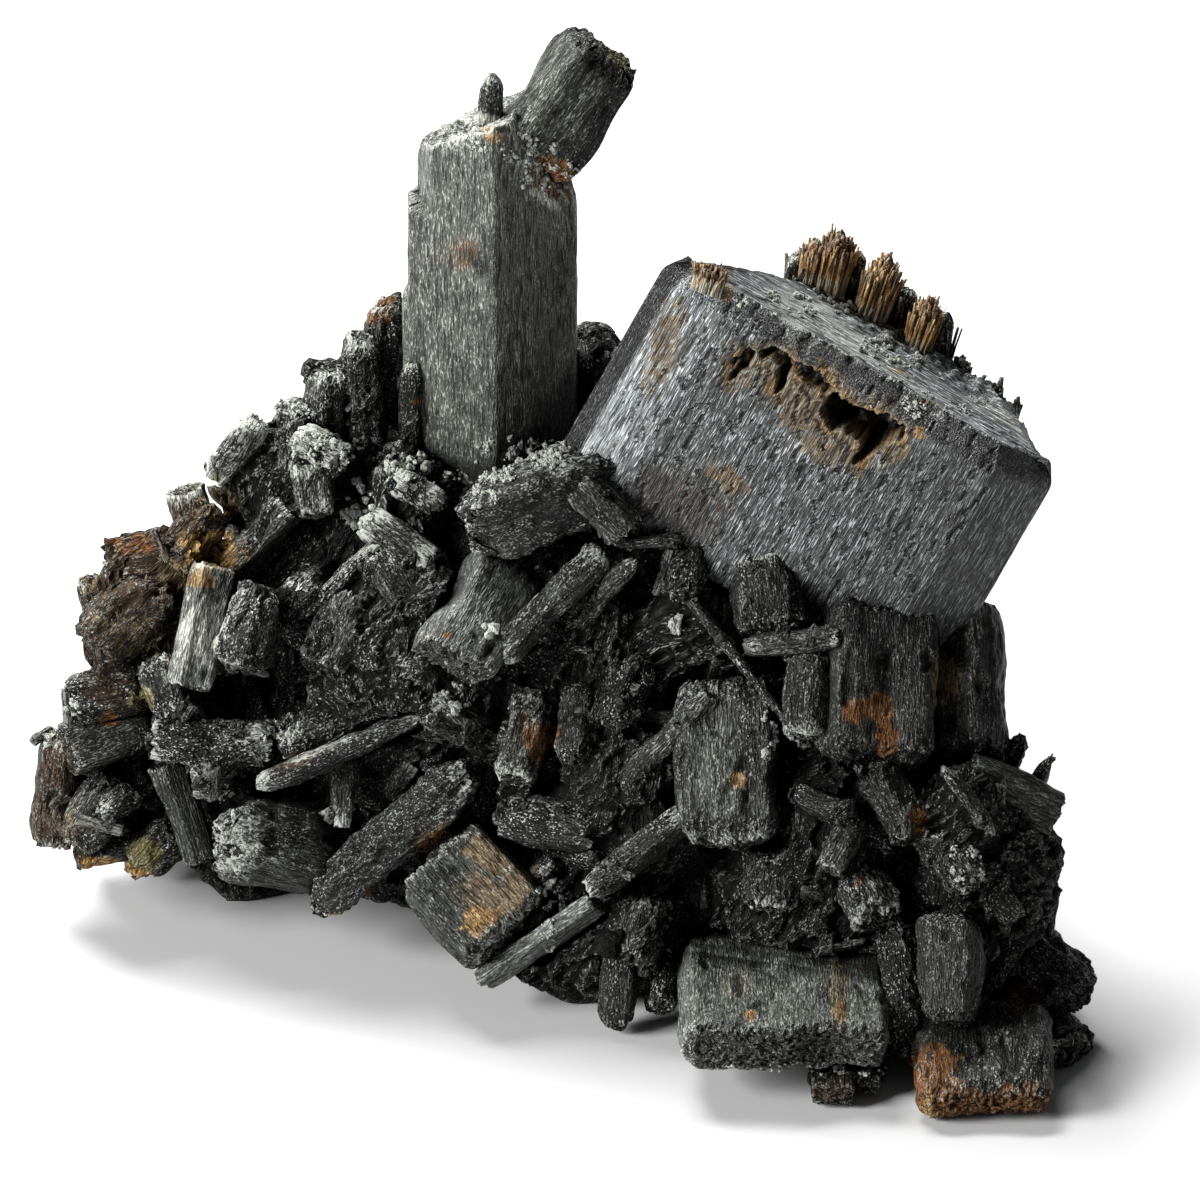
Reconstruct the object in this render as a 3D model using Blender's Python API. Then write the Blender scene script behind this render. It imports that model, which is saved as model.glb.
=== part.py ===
"""Amphibole specimen: a pile of black, fibrous amphibole crystals grown through one another.

The face that shows the specimen best leans back, so crystals are placed as seen square on to it:
(across, up, back) in mm. `across` runs to the right, `up` runs up the leaning view, and `back` is
the true distance along +Y. `place` turns that into true coordinates, and `seen` undoes it.

The larger crystals are objects of their own, each set 0.3 mm clear of its neighbours. Everything
between them, small crystals and matrix, grew as one mass, which is cut flat where it was broken off.
"""

import math
import random
from dataclasses import dataclass

import bmesh
import bpy
from mathutils import Matrix, Vector, noise

NAME = "amphibole_specimen"
MM = 0.001
LEAN = math.radians(30)  # the display face is looked at from this far above level
SIGHT = Vector((0, -math.cos(LEAN), math.sin(LEAN)))  # from the pile towards the viewer
GAP = 0.3  # mm left between neighbouring crystals, so that no two solids touch
SIDES = 6
CENTRE_BACK = 5.3  # mm from the placing frame back to the middle of the finished specimen


@dataclass(frozen=True)
class Crystal:
    """A prism from `foot` to `head`, whose broad side is turned by `turn` degrees from the viewer."""

    foot: tuple
    head: tuple
    wide: float
    thick: float
    turn: float = 0.0
    taper: float = 1.0
    ragged: float = 0.8
    free_foot: bool = False

    @property
    def stepped(self):
        """Whether its broken ends are wide enough to show steps."""
        return self.wide * self.thick > STEPPED_FROM


@dataclass(frozen=True)
class Lump:
    """A rough ellipsoid of matrix: centre and radii in true mm."""

    centre: tuple
    radii: tuple
    rings: int = 2


STEPPED_FROM = 33.0  # the area of section, in square mm, from which a broken end has steps
STEP_RIM = 0.45  # how far in such an end's inner step starts, as a share of the way to its middle
CHAMFER = (0.12, 0.26)  # the least and the most of a prism's width that its corners take off
SKEW = 0.16  # how far, in shares of its thickness, a prism's side corners may sit off its middle

# The crystals of the back and the flanks stand in a row that climbs and falls round the pile.
BACK_COUNT = 28
BACK_SEED = 11
BACK_FROM = -8  # degrees from +X towards +Y, where the row starts
BACK_SWEEP = 196
BACK_RADIUS = 44
BACK_DEPTH = 0.55  # the pile's depth over its width
BACK_MIDDLE = (-2, 19)
BACK_HEIGHTS = (4, 42)  # the lowest, and how much higher the highest is
BACK_PEAK = 90  # the height at which the pile would come to a point
BACK_LENGTHS = (9, 17)
BACK_WIDTHS = (4.5, 8.5)
BACK_FLATNESS = (0.55, 0.9)
BACK_ROOT = 3  # how far each foot is sunk in the mass
BACK_LOWEST = 2.6
GOLDEN = 0.618  # this step spreads the heights evenly

# The crystals that are big enough to be told apart, largest first: later ones give way to earlier.
OWN = {
    "front_block": Crystal((22.0, 1.6, -8.0), (22.0, -8.4, -28.0), 21.5, 5.4, 0, 1, 1.0),
    "tilted_crystal": Crystal((-4.0, 80.3, 19.5), (4.6, 91.6, 23.0), 9.5, 7.4, 24, 0.98, 0.9),
    "top_stub": Crystal((-7.4, 81.0, 19.5), (-7.3, 89.2, 19.5), 3.3, 3.0, 10, 0.75, 0.5),
    "shield_crystal": Crystal((16.2, 29.0, 0.0), (16.6, 12.2, -11.0), 11.6, 6.0, 8, 0.95, 0.9),
    "rounded_crystal": Crystal((-10.0, 44.2, 8.0), (7.2, 49.4, 9.0), 9.6, 9.6, 20, 0.92, 1.2, True),
    "striated_block": Crystal((-5.6, 39.2, 8.0), (-11.2, 30.0, -1.5), 8.8, 5.6, -6, 1, 1.2),
    "diagonal_crystal": Crystal((-25.2, 5.6, 1.0), (-9.2, 19.6, -2.0), 5.8, 5.8, 12, 1, 1.0, True),
    "stained_block": Crystal((-12.8, 11.0, -2.6), (-5.2, 3.0, -9.4), 11.6, 6.4, -5, 1, 0.8),
    "under_crystal": Crystal((31.5, 36.0, 2.0), (30.8, 20.5, -9.0), 12.0, 8.0, -14, 1, 1.0),
    "flank_crystal": Crystal((39.6, 36.5, 6.0), (40.2, 20.5, -5.0), 8.6, 8.0, 22, 1, 1.0),
    "rusty_foot": Crystal((41.5, -4.5, -19.0), (41.8, -13.8, -31.6), 14.2, 4.6, 0, 1, 1.0),
    "pillar_crystal": Crystal((38.8, 5.6, -17.5), (38.4, -6.0, -25.5), 6.6, 6.0, 14, 0.95, 0.8),
    "corner_crystal": Crystal((44.0, 1.2, -10.0), (51.8, -3.0, -14.8), 8.6, 8.2, 30, 0.9, 1.3),
    "left_block": Crystal((-22.4, 11.0, 6.0), (-34.4, 12.6, 1.5), 9.6, 8.6, 20, 0.9, 1.3),
    "pale_slab": Crystal((-35.2, 40.0, 13.0), (-37.8, 28.0, 6.5), 4.6, 3.4, -24, 1, 0.6),
    "flank_slab": Crystal((-39.8, 20.4, 8.0), (-36.2, 10.0, 3.5), 4.0, 2.8, -20, 1, 0.8),
    "long_slab": Crystal((-6.4, 30.8, -1.0), (4.0, 41.9, 3.5), 3.6, 3.0, -30, 0.95, 0.9, True),
    "rust_edged_plate": Crystal((-30.4, 18.2, 0.5), (-14.0, 25.0, 2.0), 2.3, 5.0, 0, 1, 0.8, True),
    "grey_plate": Crystal((40.0, 19.2, -9.0), (49.2, 15.2, -8.5), 5.0, 3.0, 20, 1, 0.8),
    "striated_bar": Crystal((-8.4, -1.6, -9.5), (3.4, 6.4, -9.5), 2.8, 4.0, -20, 1, 0.5, True),
    "foot_crystal": Crystal((5.6, 3.0, -9.5), (5.3, -6.4, -14.3), 4.2, 3.6, 10, 0.9, 0.8),
}

# Smaller crystals, grown into the mass.
FUSED = [
    # Columns behind and left of the tall crystal.
    Crystal((-20.2, 44.0, 21.0), (-20.6, 62.8, 22.0), 3.8, 5.0, 10),
    Crystal((-17.6, 44.0, 24.0), (-17.8, 66.6, 25.0), 4.4, 5.0, -10),
    Crystal((-24.4, 42.0, 20.0), (-24.0, 60.4, 22.0), 4.2, 5.0, 20),
    Crystal((-27.6, 40.0, 18.0), (-27.2, 56.4, 21.0), 4.4, 5.0, -15),
    Crystal((-15.8, 48.0, 19.0), (-15.2, 60.6, 19.0), 2.6, 3.4, 5),
    # Upper left slope.
    Crystal((-35.2, 48.8, 19.0), (-30.4, 54.6, 20.0), 3.6, 3.0, 10),
    Crystal((-27.0, 53.2, 17.0), (-21.4, 50.2, 15.0), 3.6, 3.4, 30),
    Crystal((-25.4, 50.4, 16.5), (-24.8, 45.0, 13.0), 4.6, 4.0, 0),
    Crystal((-33.8, 39.6, 15.0), (-27.4, 46.2, 15.0), 3.6, 3.4, -15),
    Crystal((-36.0, 40.6, 17.0), (-38.2, 47.8, 19.0), 4.2, 4.0, 10),
    Crystal((-19.8, 44.8, 12.0), (-13.2, 40.0, 8.5), 4.4, 3.0, 15),
    Crystal((-23.4, 39.4, 15.0), (-27.0, 37.0, 7.5), 4.2, 4.2, 0),
    Crystal((-27.9, 33.6, 8.5), (-18.0, 42.8, 11.0), 1.6, 4.0, 0),
    Crystal((-21.0, 36.6, 9.0), (-24.4, 29.6, 4.5), 6.0, 4.6, 20),
    Crystal((-19.0, 40.8, 9.0), (-13.8, 32.8, 4.0), 4.2, 3.6, -25),
    Crystal((-17.6, 49.0, 14.0), (-12.0, 46.0, 12.0), 3.6, 3.4, 20),
    Crystal((-20.8, 33.4, 6.0), (-18.0, 29.6, 3.0), 2.8, 2.6, 30),
    # Left flank.
    Crystal((-38.0, 41.0, 19.0), (-46.4, 39.6, 18.0), 7.0, 7.0, 20, 0.95, 1.4),
    Crystal((-35.4, 45.6, 18.0), (-39.6, 39.8, 13.0), 5.0, 5.0, 30, 1, 1.2),
    Crystal((-40.4, 38.0, 16.0), (-47.6, 31.6, 13.0), 7.6, 7.0, 0, 0.95, 1.2),
    Crystal((-30.0, 37.8, 9.0), (-32.4, 29.4, 4.0), 6.0, 5.6, 38),
    Crystal((-42.0, 24.6, 13.0), (-50.0, 21.4, 9.5), 5.6, 4.4, 10),
    Crystal((-41.4, 22.6, 7.0), (-29.0, 22.2, 4.5), 5.0, 4.8, 25, 1, 1.2),
    Crystal((-41.0, 30.6, 11.0), (-39.0, 24.8, 6.0), 4.6, 4.0, 20),
    Crystal((-50.4, 23.0, 13.0), (-51.6, 11.6, 10.5), 5.0, 5.2, 20, 0.9, 1.1),
    Crystal((-45.0, 18.6, 9.0), (-49.4, 11.8, 6.5), 5.4, 4.6, -10, 0.95, 1),
    Crystal((-43.4, 17.4, 8.0), (-46.8, 15.0, 4.5), 3.2, 3.0, 30),
    Crystal((-38.6, 14.6, 8.0), (-43.8, 9.2, 5.6), 4.6, 4.6, 0, 0.9, 1),
    Crystal((-41.0, 12.4, 8.0), (-49.4, 10.6, 7.0), 3.6, 3.4, 10, 0.9, 1),
    Crystal((-42.0, 28.0, 12.0), (-50.4, 26.6, 12.0), 5.4, 5.0, 10, 0.95, 1),
    Crystal((-33.4, 17.0, 6.0), (-36.8, 19.8, 3.0), 3.6, 3.4, 0),
    # Between the flank and the centre.
    Crystal((-28.6, 22.4, 4.5), (-16.2, 27.0, 5.0), 4.0, 5.0, 30),
    Crystal((-22.0, 21.0, 3.0), (-22.3, 14.0, -0.5), 3.8, 3.0, 10, 0.45, 0.4),
    Crystal((-6.4, 22.4, 2.0), (-13.8, 26.0, -0.5), 5.0, 5.0, -20, 0.95, 1.1),
    Crystal((-3.0, 27.0, 2.0), (-5.2, 18.4, -4.5), 5.0, 4.6, 14, 0.95, 0.9),
    Crystal((-6.6, 15.6, -3.0), (3.6, 13.6, -7.0), 5.2, 5.0, 18, 0.95, 1),
    Crystal((-13.0, 33.0, 4.0), (-16.4, 29.0, 0.5), 4.6, 4.0, 10, 1, 1.2),
    Crystal((0.6, 34.6, 3.0), (7.4, 40.6, 1.5), 3.2, 2.8, 10, 0.5, 0.4),
    Crystal((5.2, 42.4, 5.0), (12.0, 42.8, 3.5), 1.6, 3.4, 10),
    Crystal((1.4, 48.4, 6.5), (6.6, 43.0, 3.0), 4.4, 4.0, 20, 1, 1.2),
    Crystal((12.6, 42.6, 6.0), (11.4, 36.4, 0.0), 4.4, 4.0, 10, 1, 1.1),
    Crystal((11.9, 37.4, 1.0), (22.0, 24.6, -7.5), 1.2, 1.6, 10, 0.8, 0.4),
    Crystal((18.0, 32.0, -1.0), (27.4, 32.9, -4.5), 2.7, 2.6, 10),
    Crystal((14.4, 27.2, -3.5), (5.6, 17.8, -6.5), 3.2, 3.0, 20),
    Crystal((11.8, 15.2, -9.0), (2.2, 7.2, -10.5), 3.2, 3.6, 20, 1, 1.1),
    Crystal((7.6, 31.0, 1.0), (4.6, 24.0, -4.0), 4.6, 4.2, -20, 0.95, 1),
    Crystal((2.0, 28.0, 1.0), (1.0, 20.0, -5.0), 4.2, 4.0, 30, 0.95, 1),
    # Below the big block, and the right flank.
    Crystal((20.0, 41.0, 4.0), (21.0, 33.6, -1.5), 7.0, 5.0, 10, 1, 1),
    Crystal((27.6, 40.6, 6.0), (26.0, 33.0, 0.0), 6.4, 5.0, -10, 1, 1),
    Crystal((25.0, 31.0, -2.0), (24.4, 22.4, -8.5), 5.0, 5.0, 30, 1, 1),
    Crystal((22.4, 17.6, -10.0), (28.8, 15.0, -13.0), 3.2, 3.0, 10),
    Crystal((29.2, 15.0, -11.0), (26.0, 9.6, -15.0), 3.2, 3.0, 20),
    Crystal((31.0, 20.0, -9.0), (34.6, 12.6, -15.5), 5.2, 5.0, 20, 0.95, 1),
    Crystal((21.0, 11.4, -9.0), (20.4, 5.6, -12.5), 6.0, 4.4, 0, 1, 1),
    Crystal((29.0, 10.4, -10.0), (31.6, 4.4, -15.5), 5.6, 4.6, -15, 1, 1),
    Crystal((37.6, 20.0, -13.0), (43.0, 13.0, -16.5), 1.7, 3.4, 10),
    Crystal((36.6, 14.0, -13.0), (40.6, 8.0, -18.0), 5.0, 4.4, -20, 1, 1),
    Crystal((41.6, 27.6, 0.0), (43.0, 20.4, -5.0), 4.2, 4.2, 20, 0.9, 1),
    Crystal((43.4, 18.0, -3.0), (45.6, 23.2, -3.0), 3.4, 3.0, 10, 0.7, 0.6),
    Crystal((46.0, 16.0, -5.0), (48.8, 21.2, -5.0), 2.4, 2.0, 10, 0.4, 0.4),
    Crystal((46.0, 17.0, -2.0), (47.8, 8.0, -8.0), 4.4, 4.6, 20, 1, 0.9),
    Crystal((43.6, 12.4, -8.0), (48.8, 8.6, -10.5), 5.0, 4.6, 0, 1, 0.9),
    Crystal((33.4, 4.0, -14.0), (34.8, -9.6, -23.0), 4.6, 5.0, 28, 1, 1),
    Crystal((43.4, -3.6, -12.0), (51.6, -8.6, -19.5), 6.8, 6.0, 20, 0.9, 1.2),
    Crystal((42.6, -4.0, -14.0), (47.4, -9.6, -24.0), 6.0, 5.0, 0, 0.95, 1),
    Crystal((8.0, 6.6, -7.0), (6.0, -0.6, -12.0), 6.4, 6.0, 20, 0.95, 1.3),
    Crystal((10.0, 0.6, -9.0), (9.4, -4.8, -13.5), 3.6, 3.4, -10, 0.9, 0.8),
    Crystal((27.6, -3.6, -11.0), (26.6, -12.9, -28.6), 5.4, 3.0, 6, 0.9, 0.5),
    Crystal((31.6, -3.8, -11.0), (30.4, -11.6, -26.6), 3.0, 2.4, -6, 0.9, 0.5),
]

# Colour and roughness: a plain crystal's, and those that differ from it.
PLAIN_COLOUR = ((0.055, 0.062, 0.055), 0.5)
COLOURS = {
    "crystal_mass": ((0.035, 0.036, 0.032), 0.7),
    "tall_crystal": ((0.11, 0.12, 0.1), 0.5),
    "blocky_crystal": ((0.12, 0.135, 0.14), 0.45),
    "pale_slab": ((0.22, 0.24, 0.23), 0.5),
    "stained_block": ((0.14, 0.115, 0.07), 0.65),
    "rusty_foot": ((0.24, 0.11, 0.03), 0.8),
    "rust_edged_plate": ((0.09, 0.065, 0.045), 0.7),
}
# The first of the seeds of each kind of helper.
FUSED_SEED = 100
PIT_SEED = 40
TUFT_SEED = 60
# The bumps of a lump of matrix: how many fit its radius, their height in radii, and how far apart
# two lumps' patterns are.
BUMP_SCALE = 2.1
BUMP_HEIGHT = 0.22
BUMP_SHIFT = 7.3
MITRE = 1.25  # how much further than a side the corner of a grown outline moves
GROUND = (300, 300, 40)  # the block below the specimen's flat base, which is cut away

# Matrix that the crystals stand in.
LUMPS = [
    Lump((0, 16, 18), (29, 18, 22)),
    Lump((27, 0, 10), (17, 15, 12)),
    Lump((31, 6, 25), (11, 14, 18)),
    Lump((-30, 19, 16), (18, 12, 18)),
    Lump((-21, 24, 34), (14, 12, 19)),
    Lump((3, 18, 37), (17, 13, 13)),
    Lump((0, 27, 16), (37, 12, 18)),
    Lump((3, -2, 7), (14, 10, 9)),
    Lump((10, 7, 25), (14, 10, 13)),
    Lump((26, -5, 18), (10, 9, 10)),
    Lump((42, -8, 16), (8, 9, 11)),
    Lump((-14, 8, 30), (12, 9, 13)),
    Lump((2.4, 25, 51), (4.4, 6, 9)),
    Lump((-41, 17, 12), (10, 8, 10)),
    Lump((40, -9, 8), (9, 10, 9)),
    Lump((-40, 18, 28), (9, 7, 11)),
    Lump((14, 6, 34), (9, 9, 10)),
    Lump((3, 6, 34), (9, 6, 8)),
    Lump((7, -2, 20), (10, 7, 10)),
    Lump((-29, 21, 43), (6, 5, 8)),
    Lump((-15, 17, 44), (6, 6, 7)),
    Lump((40, -11, 24), (5, 6, 5)),
]

# The tall crystal stands upright: its outline seen from above, round its own axis.
TALL_AXIS = (-7.5, 20.0)
TALL_OUTLINE = [(-8.7, 3.0), (-8.7, -0.8), (0.5, -6.0), (8.7, -1.4), (8.7, 2.5), (-0.5, 6.5)]
TALL_FOOT = 38.0
TALL_HEAD = 93.0
# Planes that its broken top follows: a point on each, and the way each faces.
TALL_TOPS = [((-6.5, 14.0, 89.6), (0.87, -0.1, 0.49)), ((-12.6, 19.2, 84.4), (-0.40, 0.2, 0.89))]
# Where layers have flaked off its left side: how far across each step cuts, and its height.
TALL_STEPS = [(-13.2, 76.4), (-15.7, 66.0)]
STEP_CUTTER = (10, 30, 40)
STEP_TURN = (0, math.radians(3), math.radians(-8))

# The blocky crystal leans to the right. Its outline is in mm across its front and in depth.
BLOCK_FOOT = (19.5, 41.1, 2.0)  # on the lower edge of its front face
BLOCK_AXIS = Vector((0.46, 0.07, 0.884)).normalized()
BLOCK_ACROSS = Vector((0.866, -0.25, -0.433))
BLOCK_OUTLINE = [
    (-22.8, 3.2), (-20.2, 0.4), (-16.5, 0.0), (15.8, 0.0), (21.9, 4.6),
    (17.6, 10.0), (12.5, 15.2), (-8.0, 16.2), (-14.5, 11.5), (-20.4, 6.4),
]
BLOCK_HEIGHT = 22.6
BLOCK_ROOT = 5.0  # how far it goes on below that edge, into the mass
BLOCK_RIM = 0.9  # the rounding of its top edge
# Pits that decay has opened below its top edge: across, height, width, drop and depth.
BLOCK_PITS = [
    (-11.4, 16.6, 2.4, 2.4, 1.6), (-8.6, 17.2, 2.0, 1.8, 1.3), (-5.6, 17.8, 2.8, 2.0, 1.6),
    (-1.6, 17.6, 2.2, 1.8, 1.4), (1.2, 17.8, 2.6, 2.4, 2.0), (4.4, 17.2, 4.4, 3.6, 2.8),
]
# Tufts of loose fibres on the back of its top, leaning the way its fibres run.
TUFTS = [
    Crystal((24.6, 65.0, 19.2), (27.4, 73.0, 20.0), 5.6, 3.6, 0, 0.62, 1.6),
    Crystal((30.2, 61.4, 17.4), (32.3, 70.2, 18.2), 5.0, 3.6, 0, 0.6, 1.6),
    Crystal((34.0, 58.6, 14.6), (36.4, 66.6, 15.4), 3.6, 3.0, 0, 0.6, 1.4),
    Crystal((37.4, 57.0, 15.6), (38.2, 64.0, 16.0), 1.6, 1.6, 0, 0.5, 0.6),
    Crystal((41.4, 55.0, 14.6), (42.6, 58.4, 15.0), 3.6, 2.4, 0, 0.7, 0.8),
    Crystal((14.0, 65.4, 6.6), (15.2, 69.4, 7.2), 3.4, 2.4, 0, 0.8, 0.8),
]


def place(across, up, back):
    """The true place, in mm, of a point given as seen on the leaning face."""
    z = (up - back * math.sin(LEAN)) / math.cos(LEAN)
    return Vector((across, back, z))


def seen(point):
    """The (across, up, back) of a true place, which undoes `place`."""
    up = point.z * math.cos(LEAN) + point.y * math.sin(LEAN)
    return (point.x, up, point.y)


def hidden_crystals():
    """The crystals of the back and the two flanks, laid round the pile at random."""
    rng = random.Random(BACK_SEED)
    found = []
    for i in range(BACK_COUNT):
        angle = math.radians(BACK_FROM + BACK_SWEEP * (i + rng.random()) / BACK_COUNT)
        height = BACK_HEIGHTS[0] + BACK_HEIGHTS[1] * ((i * GOLDEN) % 1)
        out = Vector((math.cos(angle), math.sin(angle) * BACK_DEPTH, 0))
        middle = Vector((*BACK_MIDDLE, height)) + out * BACK_RADIUS * (1 - height / BACK_PEAK)
        lean = Vector([rng.uniform(-1, 1) for _ in range(3)])
        outwards = out.normalized()
        way = (outwards * 0.5 + lean + Vector((0, 0, 0.4))).normalized()
        length = rng.uniform(*BACK_LENGTHS)
        foot = middle - way * length / 2 - outwards * BACK_ROOT
        foot.z = max(foot.z, BACK_LOWEST)
        head = foot + way * length
        head.z = max(head.z, BACK_LOWEST)
        wide = rng.uniform(*BACK_WIDTHS)
        thick = wide * rng.uniform(*BACK_FLATNESS)
        found.append(Crystal(seen(foot), seen(head), wide, thick, rng.uniform(0, 180)))
    return found


def new_object(name, mesh, collection):
    """An object of this mesh in this collection."""
    obj = bpy.data.objects.new(name, mesh)
    collection.objects.link(obj)
    return obj


def mesh_from(bm, name):
    """A mesh holding what the bmesh holds, facing outwards; the bmesh is freed."""
    bmesh.ops.triangulate(bm, faces=bm.faces)
    bmesh.ops.recalc_face_normals(bm, faces=bm.faces)
    if bm.calc_volume(signed=True) < 0:
        bmesh.ops.reverse_faces(bm, faces=bm.faces)
    mesh = bpy.data.meshes.new(name)
    bm.to_mesh(mesh)
    bm.free()
    return mesh


def standing(crystal):
    """The matrix that carries a prism built up +Z from the origin to the crystal's place."""
    foot = place(*crystal.foot)
    axis = (place(*crystal.head) - foot).normalized()
    front = (SIGHT - axis * SIGHT.dot(axis)).normalized()
    front = Matrix.Rotation(math.radians(crystal.turn), 3, axis) @ front
    side = front.cross(axis)
    turned = Matrix((side, front, axis)).transposed().to_4x4()
    return Matrix.Translation(foot * MM) @ turned


def break_end(bm, level, direction, crystal, rng):
    """Turns the flat end at this level into a broken one: a stepped rim round a rough middle."""
    end = max(bm.faces, key=lambda face: face.calc_center_median().z * direction)
    ragged = crystal.ragged
    inner = []
    if crystal.stepped:
        reach = min(crystal.wide, crystal.thick) / 2 * STEP_RIM
        bmesh.ops.inset_region(bm, faces=[end], thickness=reach * MM)
        inner = list(end.verts)
    rim = [v for v in bm.verts if abs(v.co.z - level) < 1e-7 and v not in inner]
    middle = bmesh.ops.poke(bm, faces=[end])["verts"]
    for v in rim:
        v.co.z = level - direction * ragged * rng.random() * MM
    for v in inner + middle:
        v.co.z = level + direction * ragged * (rng.random() - 0.5) * MM


def prism(crystal, seed, grow=0.0):
    """The crystal's mesh, along +Z: a flattened six-sided prism with two broken ends.

    `grow` mm are added on every side, which gives the socket that the crystal sits in.
    """
    rng = random.Random(seed)
    length = (place(*crystal.head) - place(*crystal.foot)).length
    half_wide = crystal.wide / 2 + grow
    half_thick = crystal.thick / 2 + grow
    chamfer = min(crystal.wide, crystal.thick) * rng.uniform(*CHAMFER)
    skew = crystal.thick * rng.uniform(-SKEW, SKEW)
    bm = bmesh.new()
    bmesh.ops.create_cone(bm, cap_ends=True, segments=SIDES, radius1=1, radius2=1, depth=1)
    for v in bm.verts:
        at_head = v.co.z > 0
        size = crystal.taper if at_head else 1.0
        on_side = abs(v.co.x) < 0.1
        x = math.copysign(half_wide if on_side else half_wide - chamfer, v.co.y)
        y = math.copysign(skew, v.co.y) if on_side else math.copysign(half_thick, v.co.x)
        v.co = Vector((x * size, y * size, length + grow if at_head else -grow)) * MM
    bmesh.ops.recalc_face_normals(bm, faces=bm.faces)
    bm.normal_update()
    break_end(bm, (length + grow) * MM, 1, crystal, rng)
    if crystal.free_foot:
        break_end(bm, -grow * MM, -1, crystal, rng)
    return mesh_from(bm, "prism")


def stand_crystal(name, crystal, seed, collection, grow=0.0):
    """The crystal as an object, standing in its place."""
    obj = new_object(name, prism(crystal, seed, grow), collection)
    obj.matrix_world = standing(crystal)
    return obj


def lump_mesh(lump, seed):
    """A ball squeezed to the lump's radii, with its surface pushed in and out."""
    bm = bmesh.new()
    bmesh.ops.create_icosphere(bm, subdivisions=lump.rings, radius=1)
    for v in bm.verts:
        bump = noise.noise(v.co * BUMP_SCALE + Vector((seed * BUMP_SHIFT, 0, 0))) * BUMP_HEIGHT
        v.co = Vector([v.co[i] * (1 + bump) * lump.radii[i] * MM for i in range(3)])
    return mesh_from(bm, "lump")


def grown(outline, margin):
    """The outline with every corner moved outwards, so that its sides move by about the margin."""
    middle = sum((Vector(p) for p in outline), Vector((0, 0))) / len(outline)
    corners = [Vector(p) for p in outline]
    return [p + (p - middle).normalized() * margin * MITRE for p in corners]


def extruded(outline, low, high):
    """A bmesh with the outline, in mm, raised from one level to the other."""
    bm = bmesh.new()
    floor = bm.faces.new([bm.verts.new(Vector((p[0], p[1], low)) * MM) for p in outline])
    raised = bmesh.ops.extrude_face_region(bm, geom=[floor])["geom"]
    top = [v for v in raised if isinstance(v, bmesh.types.BMVert)]
    bmesh.ops.translate(bm, verts=top, vec=Vector((0, 0, high - low)) * MM)
    bm.normal_update()
    return bm


def cut_flat(bm, point, normal):
    """Takes away what lies beyond a plane, and closes the cut."""
    everything = list(bm.verts) + list(bm.edges) + list(bm.faces)
    cut = bmesh.ops.bisect_plane(
        bm, geom=everything, plane_co=Vector(point) * MM, plane_no=Vector(normal), clear_outer=True
    )
    rim = [e for e in cut["geom_cut"] if isinstance(e, bmesh.types.BMEdge)]
    bmesh.ops.contextual_create(bm, geom=rim)
    bmesh.ops.recalc_face_normals(bm, faces=bm.faces)


def tall_crystal(name, collection, cutters, grow=0.0):
    """The upright crystal, with a sloping broken top and a step where a layer has flaked off."""
    bm = extruded(grown(TALL_OUTLINE, grow), TALL_FOOT - grow, TALL_HEAD)
    for point, normal in TALL_TOPS:
        lifted = Vector(point) + Vector(normal) * grow - Vector((*TALL_AXIS, 0))
        cut_flat(bm, lifted, normal)
    obj = new_object(name, mesh_from(bm, name), collection)
    obj.location = Vector((*TALL_AXIS, 0)) * MM
    if not grow:
        for edge, level in TALL_STEPS:
            middle = (edge - STEP_CUTTER[0] / 2, TALL_AXIS[1], level + STEP_CUTTER[2] / 2)
            step = box(f"step_at_{level:.0f}", STEP_CUTTER, middle, cutters)
            step.rotation_euler = STEP_TURN
            combine(obj, step, "DIFFERENCE")
    return obj


def block_matrix():
    """Carries (across the front, depth, along the axis) to the blocky crystal's true place."""
    depth = BLOCK_AXIS.cross(BLOCK_ACROSS).normalized()
    turned = Matrix((BLOCK_ACROSS.normalized(), depth, BLOCK_AXIS)).transposed().to_4x4()
    return Matrix.Translation(place(*BLOCK_FOOT) * MM) @ turned


def blocky_crystal(name, collection, cutters, grow=0.0):
    """The broad leaning crystal, with a rounded top edge, pits below it and tufts on its back."""
    bm = extruded(grown(BLOCK_OUTLINE, grow), -BLOCK_ROOT - grow, BLOCK_HEIGHT + grow)
    near_top = (BLOCK_HEIGHT - BLOCK_RIM) * MM
    top = [e for e in bm.edges if all(v.co.z > near_top for v in e.verts)]
    bmesh.ops.bevel(bm, geom=top, offset=BLOCK_RIM * MM, segments=2, profile=0.5, affect="EDGES")
    obj = new_object(name, mesh_from(bm, name), collection)
    obj.matrix_world = block_matrix()
    if not grow:
        for i, (across, height, wide, drop, depth) in enumerate(BLOCK_PITS):
            pit = lump_mesh(Lump((0, 0, 0), (wide / 2, depth, drop / 2), 1), PIT_SEED + i)
            hole = new_object(f"pit_{i}", pit, cutters)
            hole.matrix_world = block_matrix() @ Matrix.Translation(Vector((across, 0, height)) * MM)
            combine(obj, hole, "DIFFERENCE")
        for i, tuft in enumerate(TUFTS):
            combine(obj, stand_crystal(f"tuft_{i}", tuft, TUFT_SEED + i, cutters), "UNION")
    return obj


def combine(obj, other, operation):
    """A Boolean of the object with a helper, which is then only a wire."""
    other.hide_render = True
    other.display_type = "WIRE"
    cut = obj.modifiers.new(f"{operation.lower()} {other.name}", "BOOLEAN")
    cut.operation = operation
    cut.object = other


def box(name, size, middle, collection):
    """A box of this size with its middle here, in mm."""
    bm = bmesh.new()
    bmesh.ops.create_cube(bm, size=1)
    for v in bm.verts:
        v.co = Vector([v.co[i] * size[i] * MM for i in range(3)])
    obj = new_object(name, mesh_from(bm, name), collection)
    obj.location = Vector(middle) * MM
    return obj


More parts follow.
